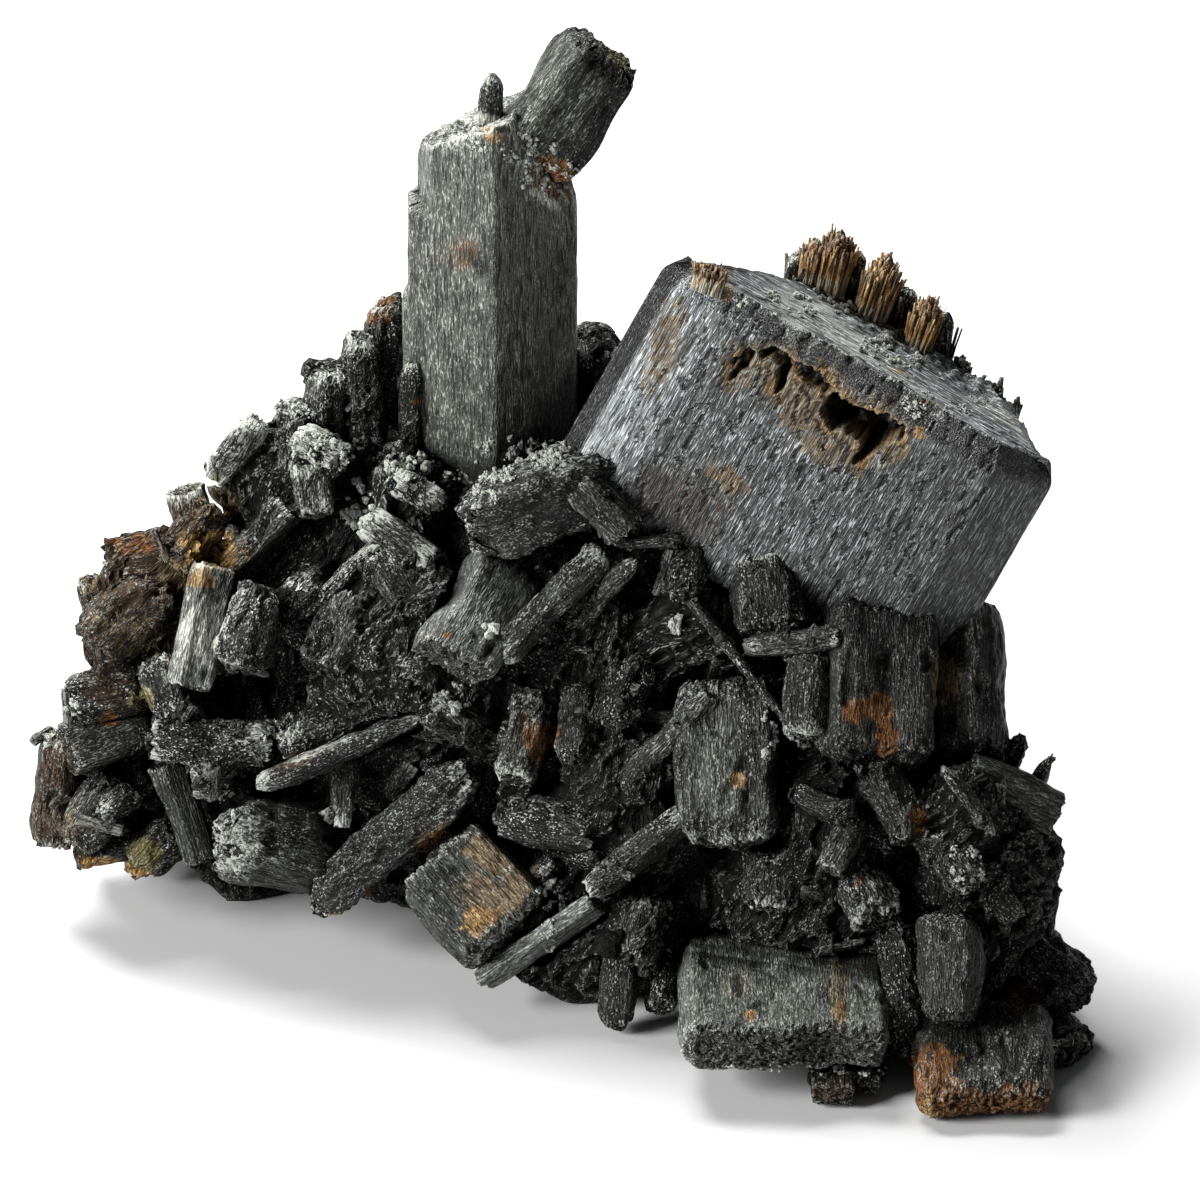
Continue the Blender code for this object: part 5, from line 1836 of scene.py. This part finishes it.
@dataclass
class BlockPrism(Prism):
    """The blocky crystal: soft at its top edge, torn open below, smooth on its left corner."""

    pits: tuple = ()
    rim: float = 1.9
    rim_height: float = 3.4

    def head_level(self, flat: Array) -> Array:
        """Level but for a slight hollow along the middle and a crumbly rise at the back.

        Args:
            flat: Points of the section, in mm.

        Returns:
            The level of the head over each point, in mm.
        """
        x, y = flat[..., 0], flat[..., 1]
        dish = 0.5 * np.exp(-(((y - 4.6) / 2.4) ** 2))
        back = ease(y, 7.6, 10.5) * ease(x, -7, -1)
        crumbly = fractal(at_level(flat / 1.3, 0.3), 3, self.seed + 71)
        return self.high - dish + back * (0.35 + 0.75 * crumbly)

    def break_off(self, flat: Array, seed: int) -> Array:
        """The top is a growth face: it has only fine lines, which run along its front edge."""
        return 0.16 * fractal(at_level(flat / [7, 0.5], 0.5), 3, seed)

    def end_fibre(self, local: Array) -> Array:
        """The lines of the top run across."""
        return local[:, [2, 1, 0]]

    def carve(self, flat: Array, level: Array) -> Array:
        """The torn pits, the soft top edge and the smooth left corner.

        Args:
            flat: Points of the section, in mm.
            level: Their levels along the fibres, in mm.

        Returns:
            How far each point stands out, in mm.
        """
        at = at_level(flat, level)
        torn = fractal(at / [0.5, 0.5, 1.5], 3, self.seed + 61)
        floor = fractal(at / [0.8, 0.8, 1.4], 2, self.seed + 67)
        on_front = flat[..., 1] < 0.4
        cut = np.zeros(level.shape)
        near_pits = np.zeros(level.shape)
        for depth, corners in self.pits:
            within = inside_of(np.array(corners), flat[..., 0], level)
            shape = ease(within + 0.35 * torn, 0.0, 0.35) * depth * (1 + 0.4 * floor)
            cut = np.maximum(cut, shape * on_front)
            near_pits = np.maximum(near_pits, ease(within, -1.5, 0.0))
        flaked = 0.3 * ease(near_pits + 0.7 * torn, 0.35, 0.45) * on_front
        rounding = self.rim * ease(level, self.high - self.rim_height, self.high + 0.2) ** 2
        return -cut - flaked - rounding

    def relief(self, flat: Array, level: Array) -> Array:
        """As on any side, but fainter on the smooth left corner."""
        corner = ease(-flat[..., 0], 16.2, 17.4) * (flat[..., 1] < 2)
        return super().relief(flat, level) * (1 - 0.8 * corner)

    def paleness(self, flat: Array, level: Array) -> Array:
        """Palest down the left corner, a painted highlight where it faces the key light; darker to
        the right as painted shade, darker at the lower left, and a painted shade band under the rim.

        Args:
            flat: Points of the section, in mm.
            level: Their levels along the fibres, in mm.

        Returns:
            Paleness from 0 to 1.
        """
        x, y = flat[..., 0], flat[..., 1]
        # Painted shade: darker to the right, away from the key light; darker at the lower left too.
        base = 0.11 - 0.075 * ease(x, 2, 12) - 0.095 * ease(5.5 - level, 0, 4) * ease(-x, 1, 8)
        # Painted shade: a dark band under the rounded top edge.
        rim = np.exp(-(((level - 21.0) / 0.9) ** 2)) * ease(x, -13, -11)
        # Painted highlight: the left corner's bevel, lit by the key light.
        lit_band = ease(-x, 13.5, 17.8) * (y < 1.4) * (1 - 0.35 * ease(level, 10, 20)) * 0.7
        dark_side = ease(y, 0.5, 1.2) * (x < -18)
        cloud = fractal(at_level(flat, level) / 4.0, 2, self.seed + 3)
        pale = (base * (1 + 0.25 * cloud) - 0.12 * rim) * (1 - lit_band) + lit_band
        return np.clip(pale, 0.003, 1) * (1 - dark_side)


@dataclass
class BlockyCrystal:
    """The broad leaning crystal with its decay pits, and the tufts of loose fibres on its back."""

    outline: tuple = (
        (-22.8, 3.2), (-20.2, 0.4), (-16.5, 0.0), (15.8, 0.0), (21.9, 4.6),
        (17.6, 10.0), (12.5, 15.2), (-8.0, 16.2), (-14.5, 11.5), (-20.4, 6.4),
    )
    height: float = 22.6
    root: float = 5.0
    seed: int = 800
    # Each pit: its depth, and its outline in mm across the front and up it.
    pits: tuple = (
        (4.2, (
            (-2.1, 18.2), (-1.4, 19.0), (0.6, 18.7), (2.1, 19.3), (4.1, 19.7), (5.7, 19.5),
            (6.6, 18.8), (5.5, 17.0), (4.6, 15.2), (4.0, 13.7), (3.3, 13.6), (2.9, 15.7),
            (1.9, 16.0), (0.9, 15.8), (0.2, 15.2), (-0.8, 15.4), (-1.9, 16.6),
        )),
        (2.4, (
            (-7.6, 19.1), (-6.4, 19.0), (-6.4, 17.5), (-6.5, 15.8), (-7.3, 15.8), (-7.6, 17.6),
        )),
        (1.5, (
            (-10.3, 18.7), (-9.4, 20.1), (-7.4, 19.9), (-5.6, 19.9), (-3.4, 20.0), (-1.8, 19.3),
            (-2.4, 18.2), (-4.8, 18.4), (-6.3, 18.5), (-8.7, 18.8), (-9.7, 17.9),
        )),
        (2.0, ((-12.2, 17.0), (-11.4, 18.6), (-10.5, 18.4), (-10.6, 16.3), (-11.3, 14.6))),
    )
    step: float = 0.24

    def build(self, finish: bpy.types.Material) -> None:
        """Makes the crystal itself.

        Args:
            finish: Its material.
        """
        prism = BlockPrism(
            np.array(self.outline), place(*BLOCK_FOOT), BLOCK_AXES, -self.root, self.height,
            self.seed, 1.0, self.step,
            Grain(layer=0.0, groove=0.05, dash=0.02, chip=0.0, knob=0.0, ragged=0.3),
            Look(0.44, 0.25, broken=0.0, head_broken=0.0, head_pale=0.42), draw_out=1.7,
            pits=self.pits,
        )
        piece = add_piece("blocky_crystal_fibres", [prism.shell()], finish, "blocky_crystal")
        self.gild_pits(piece)

    def gild_pits(self, piece: bpy.types.Object) -> None:
        """Colours the pits: golden on their torn rims, and painted shade, brown-black, on their
        floors.

        Args:
            piece: The finished crystal, the last piece made.
        """
        points = SKIN.points[-1]
        local = (points - place(*BLOCK_FOOT)) @ BLOCK_AXES.T
        within = np.max([
            inside_of(np.array(corners), local[:, 0], local[:, 2]) for _, corners in self.pits
        ], axis=0)
        within = within + 0.45 * fractal(points / [0.7, 0.7, 1.6], 2, 877)
        on_front = local[:, 1] < 6.0
        torn = fractal(points / [1.3, 1.3, 2.0], 2, 881)
        rim = ease(within + 0.5 * torn, -0.5, -0.15) * on_front
        tan = ease(within + 0.9 * torn, -1.5, -0.6) * on_front * 0.85
        floor = ease(within, 0.1, 0.45) * on_front
        layer = piece.data.attributes["stain"].data
        stain = read(layer, "color", 4)
        for share, colour, strength in (
            # Painted shade on the floors of the pits.
            (tan, Stain.OCHRE, 0.9), (rim, Stain.GOLD, 1.05), (floor, Stain.PITCH, 1.6),
        ):
            shows = share * strength > np.where(colour is Stain.PITCH, 0.6, stain[:, 3])
            stain[shows, :3] = colour.value
            stain[shows, 3] = (share * strength)[shows]
        layer.foreach_set("color", stain.ravel())

    def build_tufts(self, rusty: bpy.types.Material, dark: bpy.types.Material) -> None:
        """Makes the tufts: fibres round a core of the same form.

        Args:
            rusty: The finish of the rusty ones.
            dark: The finish of the dark ones.
        """
        for name, tufts, finish in (
            ("rusty_tufts", TUFTS, rusty), ("dark_tufts", DARK_TUFTS, dark)
        ):
            shells = [shell for tuft in tufts for shell in tuft.shells()]
            add_piece(name, shells, finish, "blocky_crystal")


# ---------------- tufts of loose fibres


@dataclass
class FibreTuft:
    """A bundle of thin fibres that lean the same way and end at different heights."""

    foot: tuple  # across, up, back
    head: tuple
    wide: float
    deep: float
    count: int
    seed: int
    thick: float = 0.3
    spread: float = 0.03
    core: Look = Look(0.6, 0.5, 0.2, broken=0.0, head_broken=0.0, soft=2.2, corners=8)

    def shells(self) -> list[Shell]:
        """The fibres: five-sided, bent a little, thinner towards their tips.

        Returns:
            The core and the fibres.
        """
        rng = np.random.default_rng(self.seed)
        foot, head = place(*self.foot), place(*self.head)
        axis = unit(head - foot)
        side = unit(np.cross(SIGHT, axis))
        back = np.cross(axis, side)
        length = float(np.linalg.norm(head - foot))
        angle = rng.random(self.count) * 2 * np.pi
        out = np.sqrt(rng.random(self.count))
        base = (
            foot + side * (out * np.cos(angle) * self.wide / 2)[:, None]
            + back * (out * np.sin(angle) * self.deep / 2)[:, None]
        )
        lobe = 0.03 * np.cos(out * np.cos(angle) * 5.0 + self.seed)
        reach = length * (0.97 - 0.17 * out**2 - 0.07 * rng.random(self.count) + lobe)
        lean = unit(
            axis + self.spread * rng.normal(size=(self.count, 1)) * side
            + self.spread * rng.normal(size=(self.count, 1)) * back
        )
        columns, rows = 5, 5
        turn = np.arange(columns) / columns * 2 * np.pi
        along = np.linspace(0, 1, rows)
        girth = self.thick / 2 * rng.uniform(0.5, 1.5, self.count)[:, None] * (1 - 0.15 * along**3)
        middle = base[:, None] + lean[:, None] * (reach[:, None] * along)[..., None]
        bend = rng.normal(size=(self.count, 3)) * 0.3
        middle += bend[:, None] * (along**2)[None, :, None]
        round_it = np.cos(turn)[:, None] * side + np.sin(turn)[:, None] * back
        points = middle[:, :, None] + girth[..., None, None] * round_it
        points = points.reshape(self.count, -1, 3)
        ends = np.stack([middle[:, 0], middle[:, -1]], axis=1)
        points = np.concatenate([points, ends], axis=1)
        fibre = points @ np.stack([side, back, axis]).T + self.seed
        tip = np.concatenate([np.repeat(along, columns), [0, 1]])
        wear = np.zeros((self.count, points.shape[1], 3))
        wear[..., 1] = 1.3 * ease(0.8 - tip, 0, 0.42)
        wear[..., 2] = rng.uniform(0.1, 1.0, self.count)[:, None]
        form = Crystal(self.foot, self.head, self.wide * 0.94, self.deep * 0.94, 0, 0.94, 0.7)
        core = prism_of(form, self.seed, self.core, 0.26).shell()
        return [core, bunch_of_tubes(points, fibre, wear, rows, columns)]


DARK_CORE = Look(0.05, 0.4, 0.3, broken=0.7, soft=0.8, corners=3)
TUFTS = [
    FibreTuft((25.6, 65.2, 19.2), (27.6, 73.5, 20), 3.3, 3, 300, 61),
    FibreTuft((23.5, 66.2, 19.2), (25.1, 72.6, 19.8), 2, 2.2, 150, 65),
    FibreTuft((29.4, 62, 17.4), (32.5, 70.9, 18.2), 3.2, 3, 300, 62),
    FibreTuft((34.2, 58.8, 14.6), (36.7, 67, 15.4), 2.5, 2.4, 220, 63),
    FibreTuft((13.9, 67.2, 8.8), (14.8, 69.9, 9.6), 3.2, 1.8, 160, 64, 0.26, 0.05),
]
DARK_TUFTS = [FibreTuft(*row, DARK_CORE) for row in (
    ((22.5, 65.2, 19.8), (23.6, 71.2, 20.6), 2.6, 3, 60, 71, 0.36, 0.05),
    ((27.6, 63.6, 20), (29.1, 71, 20.8), 2.2, 2.6, 50, 72, 0.36, 0.05),
    ((32.2, 60.8, 18.2), (34.4, 67.9, 19.2), 3, 2.4, 50, 73, 0.36, 0.06),
    ((36.6, 57.4, 15.6), (37.8, 65.2, 16.2), 2.6, 2, 50, 74, 0.34, 0.05),
    ((39, 57.4, 15), (39.6, 61, 15.6), 1.9, 1.6, 14, 75, 0.6, 0.1),
    ((40.6, 56.4, 14.8), (41, 59.2, 15.2), 1.2, 1.2, 8, 77, 0.5, 0.1),
    ((43, 54.8, 14.6), (43.4, 58.3, 15), 1.7, 1.5, 12, 76, 0.6, 0.1),
    ((44.6, 54, 14.2), (44.9, 56.9, 14.6), 1.1, 1.1, 8, 78, 0.5, 0.1),
)]


# ---------------- the intergrown mass

# The matrix's own three directions, as columns, and the sizes of its shards along them, in mm.
MATRIX_SLANT = np.array([[0.8, 0.3, 0.5], [-0.5, 0.8, 0.2], [-0.3, -0.5, 0.8]])
LARGE_SHARD = (1.9, 1.9, 4.4)
SMALL_SHARD = (0.7, 0.7, 2.0)
MATRIX_BUMP = (0.9, 0.9, 1.6)
MATRIX_DRIFT = 7.0  # mm, over which its directions wander
CRYSTAL_DRAWS, RUBBLE_DRAWS, SPLINTER_DRAWS = 5, 29, 17
MATRIX_SEED, RUBBLE_SEED = 900, 400


@dataclass
class GrownMass:
    """What holds the large crystals: matrix, the crystals grown into it and small splinters."""

    step: float = 0.32  # mm between the points of the crystals in front
    hidden_step: float = 0.5  # and of those behind
    split: float = -3.0  # mm across, where the left crystals in front end
    matrix_grid: float = 0.55  # mm
    splinters: int = 170
    rubble: int = 250
    rubble_step: float = 0.42  # mm between the points of the rubble
    rubble_gap: float = 2.3  # mm between the roots of two bits of rubble, at least
    rubble_clear: float = 0.3  # mm between such a root and a placed crystal, at least
    rubble_low: float = 1.4  # mm over the floor that its axis keeps to

    def build_matrix(self, finish: bpy.types.Material) -> tuple[Array, Array]:
        """The matrix: the mass's solid in an even grid, roughened along its own slanting fibres.

        Args:
            finish: Its material.

        Returns:
            Its points in mm, and the ways it faces there.
        """
        bm = bmesh.new()
        bm.from_mesh(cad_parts[MASS].data)
        bmesh.ops.remove_doubles(bm, verts=bm.verts, dist=1e-6)
        mesh = bpy.data.meshes.new("matrix_rough")
        bm.to_mesh(mesh)
        bm.free()
        rough = new_object("matrix_rough", mesh)
        even = rough.modifiers.new("even_grid", "REMESH")
        even.mode = "VOXEL"
        even.voxel_size = self.matrix_grid * MM
        graph = bpy.context.evaluated_depsgraph_get()
        even_mesh = bpy.data.meshes.new_from_object(rough.evaluated_get(graph))
        bpy.data.objects.remove(rough, do_unlink=True)
        points = read(even_mesh.vertices, "co", 3).astype(float) / MM
        normals = read(even_mesh.vertices, "normal", 3).astype(float)
        quads = read(even_mesh.loops, "vertex_index", 1, np.int32).reshape(-1, 4)
        bpy.data.meshes.remove(even_mesh)
        slanted = points @ MATRIX_SLANT
        places = points / MATRIX_DRIFT
        drift = np.stack([smooth_noise(places, MATRIX_SEED + 20 + i) for i in range(3)], axis=1)
        slanted = slanted + 3.0 * drift
        large = patchwork(slanted / LARGE_SHARD, MATRIX_SEED + 30)
        small = patchwork(slanted / SMALL_SHARD, MATRIX_SEED + 40)
        bumps = fractal(slanted / MATRIX_BUMP, 2, MATRIX_SEED + 9)
        out_by = 0.62 * large + 0.2 * small + 0.18 * bumps - 0.45
        free = ease(points[:, 2], 0.3, 1.5)
        moved = points + normals * (out_by * free)[:, None]
        moved[:, 2] = np.maximum(moved[:, 2], 0)
        wear = np.stack([
            0.5 + 0.5 * np.sign(large + 0.3 * bumps),
            np.full(len(points), 0.06),
            0.1 + 0.1 * large,
        ], axis=1)
        shell = Shell(moved, quads, NO_TRIANGLES, slanted, wear, True)
        add_piece("matrix", [shell], finish, MASS)
        return moved, normals

    def build_crystals(self, finish: bpy.types.Material) -> None:
        """The smaller crystals that are grown into the mass.

        Args:
            finish: Their material.
        """
        rng = random.Random(CRYSTAL_DRAWS)
        sides: dict[str, list[Shell]] = {"left": [], "right": [], "back": []}
        for i, crystal in enumerate(FUSED + hidden_crystals()):
            front = i < len(FUSED)
            look = Look(rng.uniform(0.02, 0.4), rng.uniform(0.2, 0.7), rng.uniform(0.08, 0.3),
                        broken=rng.uniform(0.1, 0.7), soft=rng.uniform(0.4, 2.6),
                        corners=rng.randint(2, 7))
            look = GROWN_LOOKS.get(i, look)
            step = self.step if front else self.hidden_step
            side = ("left" if crystal.foot[0] < self.split else "right") if front else "back"
            sides[side].append(prism_of(crystal, FUSED_SEED + i, look, step).shell())
        for side, shells in sides.items():
            add_piece(f"grown_crystals_{side}", shells, finish, MASS)

    def build_rubble(
        self, finish: bpy.types.Material, points: Array, normals: Array
    ) -> None:
        """Rubble: rough small crystals rooted in the matrix wherever no placed crystal stands.

        Args:
            finish: Their material.
            points: Places on the matrix.
            normals: The ways it faces there.
        """
        rng = np.random.default_rng(RUBBLE_DRAWS)
        placed = list(OWN.values()) + FUSED + hidden_crystals()
        feet = np.array([place(*crystal.foot) for crystal in placed])
        heads = np.array([place(*crystal.head) for crystal in placed])
        girth = np.array([max(crystal.wide, crystal.thick) / 2 for crystal in placed])
        run = heads - feet
        own = len(OWN) + len(FUSED)
        low_at = np.stack(seen(feet[:own]), axis=1)
        in_view = np.stack(seen(heads[:own]), axis=1) - low_at
        flat_run = np.maximum(np.sum(in_view**2, axis=1), 1e-6)
        shells, taken = [], np.empty((0, 3))
        for i in rng.permutation(np.flatnonzero(points[:, 2] > 2.5)):
            if len(shells) == self.rubble:
                break
            at = points[i]
            share = np.clip(np.sum((at - feet) * run, axis=1) / np.sum(run**2, axis=1), 0, 1)
            gap = np.linalg.norm(feet + share[:, None] * run - at, axis=1) - girth
            if gap.min() < self.rubble_clear or np.any(
                np.linalg.norm(taken - at, axis=1) < self.rubble_gap
            ):
                continue
            across, up = seen(at)
            share = np.clip(((across - low_at[:, 0]) * in_view[:, 0] +
                             (up - low_at[:, 1]) * in_view[:, 1]) / flat_run, 0, 1)
            beside = np.hypot(*(low_at + share[:, None] * in_view - [across, up]).T)
            depth = (feet[:own] + share[:, None] * run[:own]) @ SIGHT
            hides = (beside < girth[:own] * 0.75 + 1.2) & (at @ SIGHT > depth - 2.0)
            if normals[i] @ SIGHT > -0.2 and hides.any():
                continue
            taken = np.vstack([taken, at])
            out = unit(normals[i])
            lying = rng.normal(size=3)
            lying = unit(lying - out * (lying @ out))
            way = unit(lying + out * rng.uniform(0.0, 0.9))
            long = rng.uniform(3.0, 7.0)
            wide = rng.uniform(1.6, 3.6)
            foot = at - way * long * 0.5 - out * 0.5
            foot[2] = max(foot[2], self.rubble_low)
            head = foot + way * long
            head[2] = max(head[2], self.rubble_low)
            back = np.array([0, CENTRE_BACK, 0])
            crystal = Crystal(
                seen_from(foot + back), seen_from(head + back), wide,
                wide * rng.uniform(0.45, 0.9), rng.uniform(0, 180), 1, rng.uniform(0.4, 1.0),
            )
            look = Look(rng.uniform(0, 0.5) ** 1.5, rng.uniform(0.1, 0.6), 0.2,
                        broken=rng.uniform(0.1, 0.8), soft=rng.uniform(0.3, 1.4), corners=3)
            seed = RUBBLE_SEED + len(shells)
            shells.append(prism_of(crystal, seed, look, self.rubble_step).shell())
        add_piece("rubble", shells, finish, MASS)

    def build_splinters(
        self, finish: bpy.types.Material, points: Array, normals: Array
    ) -> None:
        """Splinters: small six-sided crystals that lie at random on the matrix.

        Args:
            finish: Their material.
            points: Places on the matrix.
            normals: The ways it faces there.
        """
        rng = np.random.default_rng(SPLINTER_DRAWS)
        above = np.flatnonzero(points[:, 2] > 2.0)
        picked = rng.choice(above, self.splinters, replace=False)
        root, out = points[picked], unit(normals[picked])
        loose = rng.normal(size=(self.splinters, 3))
        lying = unit(loose - out * np.sum(loose * out, axis=1, keepdims=True))
        axis = unit(lying + out * rng.uniform(-0.1, 0.35, (self.splinters, 1)))
        side = unit(np.cross(axis, out))
        front = np.cross(axis, side)
        length = rng.gamma(4.0, 0.4, self.splinters) + 1.2
        wide = rng.uniform(0.4, 0.9, self.splinters) * (0.6 + length * 0.16)
        thick = wide * rng.uniform(0.4, 1.0, self.splinters)
        columns, rows = 6, 5
        turn = (np.arange(columns) + rng.random((self.splinters, 1)) * 0.6) / columns * 2 * np.pi
        along = np.linspace(-0.35, 0.65, rows)
        uneven = rng.uniform(0.82, 1.12, (self.splinters, rows, columns))
        x = np.cos(turn)[:, None] * wide[:, None, None] * uneven
        y = np.sin(turn)[:, None] * thick[:, None, None] * uneven
        slip = rng.normal(size=(self.splinters, 1, columns)) * 0.25
        run = along[None, :, None] * length[:, None, None] + slip
        local = np.stack([x, y, run], axis=-1)
        ends = local[:, [0, -1]].mean(axis=2)
        local = np.concatenate([local.reshape(self.splinters, -1, 3), ends], axis=1)
        axes = np.stack([side, front, axis], axis=1)
        placed = np.einsum("nvi,nij->nvj", local, axes) + root[:, None]
        wear = np.zeros(placed.shape)
        wear[:, [0, -1], 0] = 1
        wear[..., 1] = rng.uniform(0.0, 0.3, (self.splinters, 1))
        wear[..., 2] = rng.uniform(0.0, 0.6, (self.splinters, 1)) ** 2.0
        fibre = local + rng.random((self.splinters, 1, 3)) * 60
        placed[..., 2] = np.maximum(placed[..., 2], 0.05)
        shell = bunch_of_tubes(placed, fibre, wear, rows, columns, True)
        add_piece("splinters", [shell], finish, MASS)


# ---------------- the stage


@dataclass
class Stage:
    """The pale floor, the soft lights and the camera."""

    middle: tuple = (3.5, 36.6)  # the middle of the view: across and up, in mm
    width: float = 120.0  # mm across the view
    lens: float = 900.0
    sensor: float = 36.0
    floor_half: float = 6.0  # m
    floor_grey: float = 0.55
    glow: float = 0.08  # how strong the surround is
    lamps: tuple = (  # name, place in m, watts and side in m
        ("key", (-0.68, -0.30, 0.36), 12.8, 0.34), ("top", (-0.24, 0.42, 0.74), 19.5, 0.44),
    )
    lit: tuple = (0.0, 0.0, 0.04)  # the place in m that the lamps are turned to

    def build(self) -> None:
        """Makes everything round the object."""
        self.floor()
        self.lights()
        self.camera()

    def floor(self) -> None:
        """A plain, pale floor."""
        half, grey = self.floor_half, self.floor_grey
        mesh = bpy.data.meshes.new("floor")
        corners = [(-half, -half, 0), (half, -half, 0), (half, half, 0), (-half, half, 0)]
        mesh.from_pydata(corners, [], [(0, 1, 2, 3)])
        made = bpy.data.materials.new("floor")
        made.use_nodes = True
        shader = made.node_tree.nodes["Principled BSDF"]
        shader.inputs["Base Color"].default_value = (grey, grey, grey, 1)
        shader.inputs["Roughness"].default_value = 0.9
        mesh.materials.append(made)
        new_object("floor", mesh)

    def lights(self) -> None:
        """A soft key from the left, a broad one from above and behind, and a pale surround."""
        for name, spot, watts, size in self.lamps:
            light = bpy.data.lights.new(name, "AREA")
            light.energy = watts
            light.size = size
            self.aim(new_object(name, light), np.array(spot), np.array(self.lit))
        world = bpy.data.worlds.new("surround")
        world.use_nodes = True
        surround = world.node_tree.nodes["Background"].inputs
        surround["Color"].default_value = (0.95, 0.97, 1.0, 1)
        surround["Strength"].default_value = self.glow
        bpy.context.scene.world = world

    def camera(self) -> None:
        """A long lens, square on to the leaning face."""
        data = bpy.data.cameras.new("camera")
        data.lens = self.lens
        data.sensor_width = self.sensor
        obj = new_object("camera", data)
        target = place(self.middle[0], self.middle[1], CENTRE_BACK) * MM
        away = self.width * MM * self.lens / self.sensor
        self.aim(obj, target + SIGHT * away, target)
        data.clip_end = away * 4
        bpy.context.scene.camera = obj

    @staticmethod
    def aim(obj: bpy.types.Object, at: Array, target: Array) -> None:
        """Puts an object somewhere and turns its -Z towards the target, with +Y upwards.

        Args:
            obj: The lamp or the camera.
            at: Where it goes, in m.
            target: What it looks at, in m.
        """
        back = unit(at - target)
        right = unit(np.cross([0.0, 0.0, 1.0], back))
        up = np.cross(back, right)
        turned = Matrix([list(row) for row in np.stack([right, up, back], axis=1)])
        obj.matrix_world = Matrix.Translation(at) @ turned.to_4x4()


def main() -> None:
    """Builds the sub-assemblies in order."""
    logging.basicConfig(level=logging.INFO, format="%(message)s")
    fibre_group()
    weather_group()
    grey_green, dark_green, blue_grey, black, rusty = [
        finish.material() for finish in (GREY_GREEN, DARK_GREEN, BLUE_GREY, BLACK, RUSTY)
    ]
    TallCrystal().build(grey_green)
    block = BlockyCrystal()
    block.build(blue_grey)
    block.build_tufts(rusty, black)
    for i, (name, crystal) in enumerate(OWN.items()):
        look = LOOKS[name]
        finish = grey_green if look.pale > PALE_FROM else dark_green
        add_piece(f"{name}_fibres", [prism_of(crystal, i, look, OWN_STEP).shell()], finish, name)
    mass = GrownMass()
    points, normals = mass.build_matrix(MATRIX.material())
    mass.build_crystals(black)
    mass.build_rubble(black, points, normals)
    mass.build_splinters(black, points, normals)
    Crumbs().build(CRUMBLY.material())
    Recesses().paint_shade([bpy.data.objects[name] for name in SKIN.names])
    Stage().build()
    bpy.context.scene.view_settings.view_transform = "Standard"


if __name__ == "__main__":
    main()
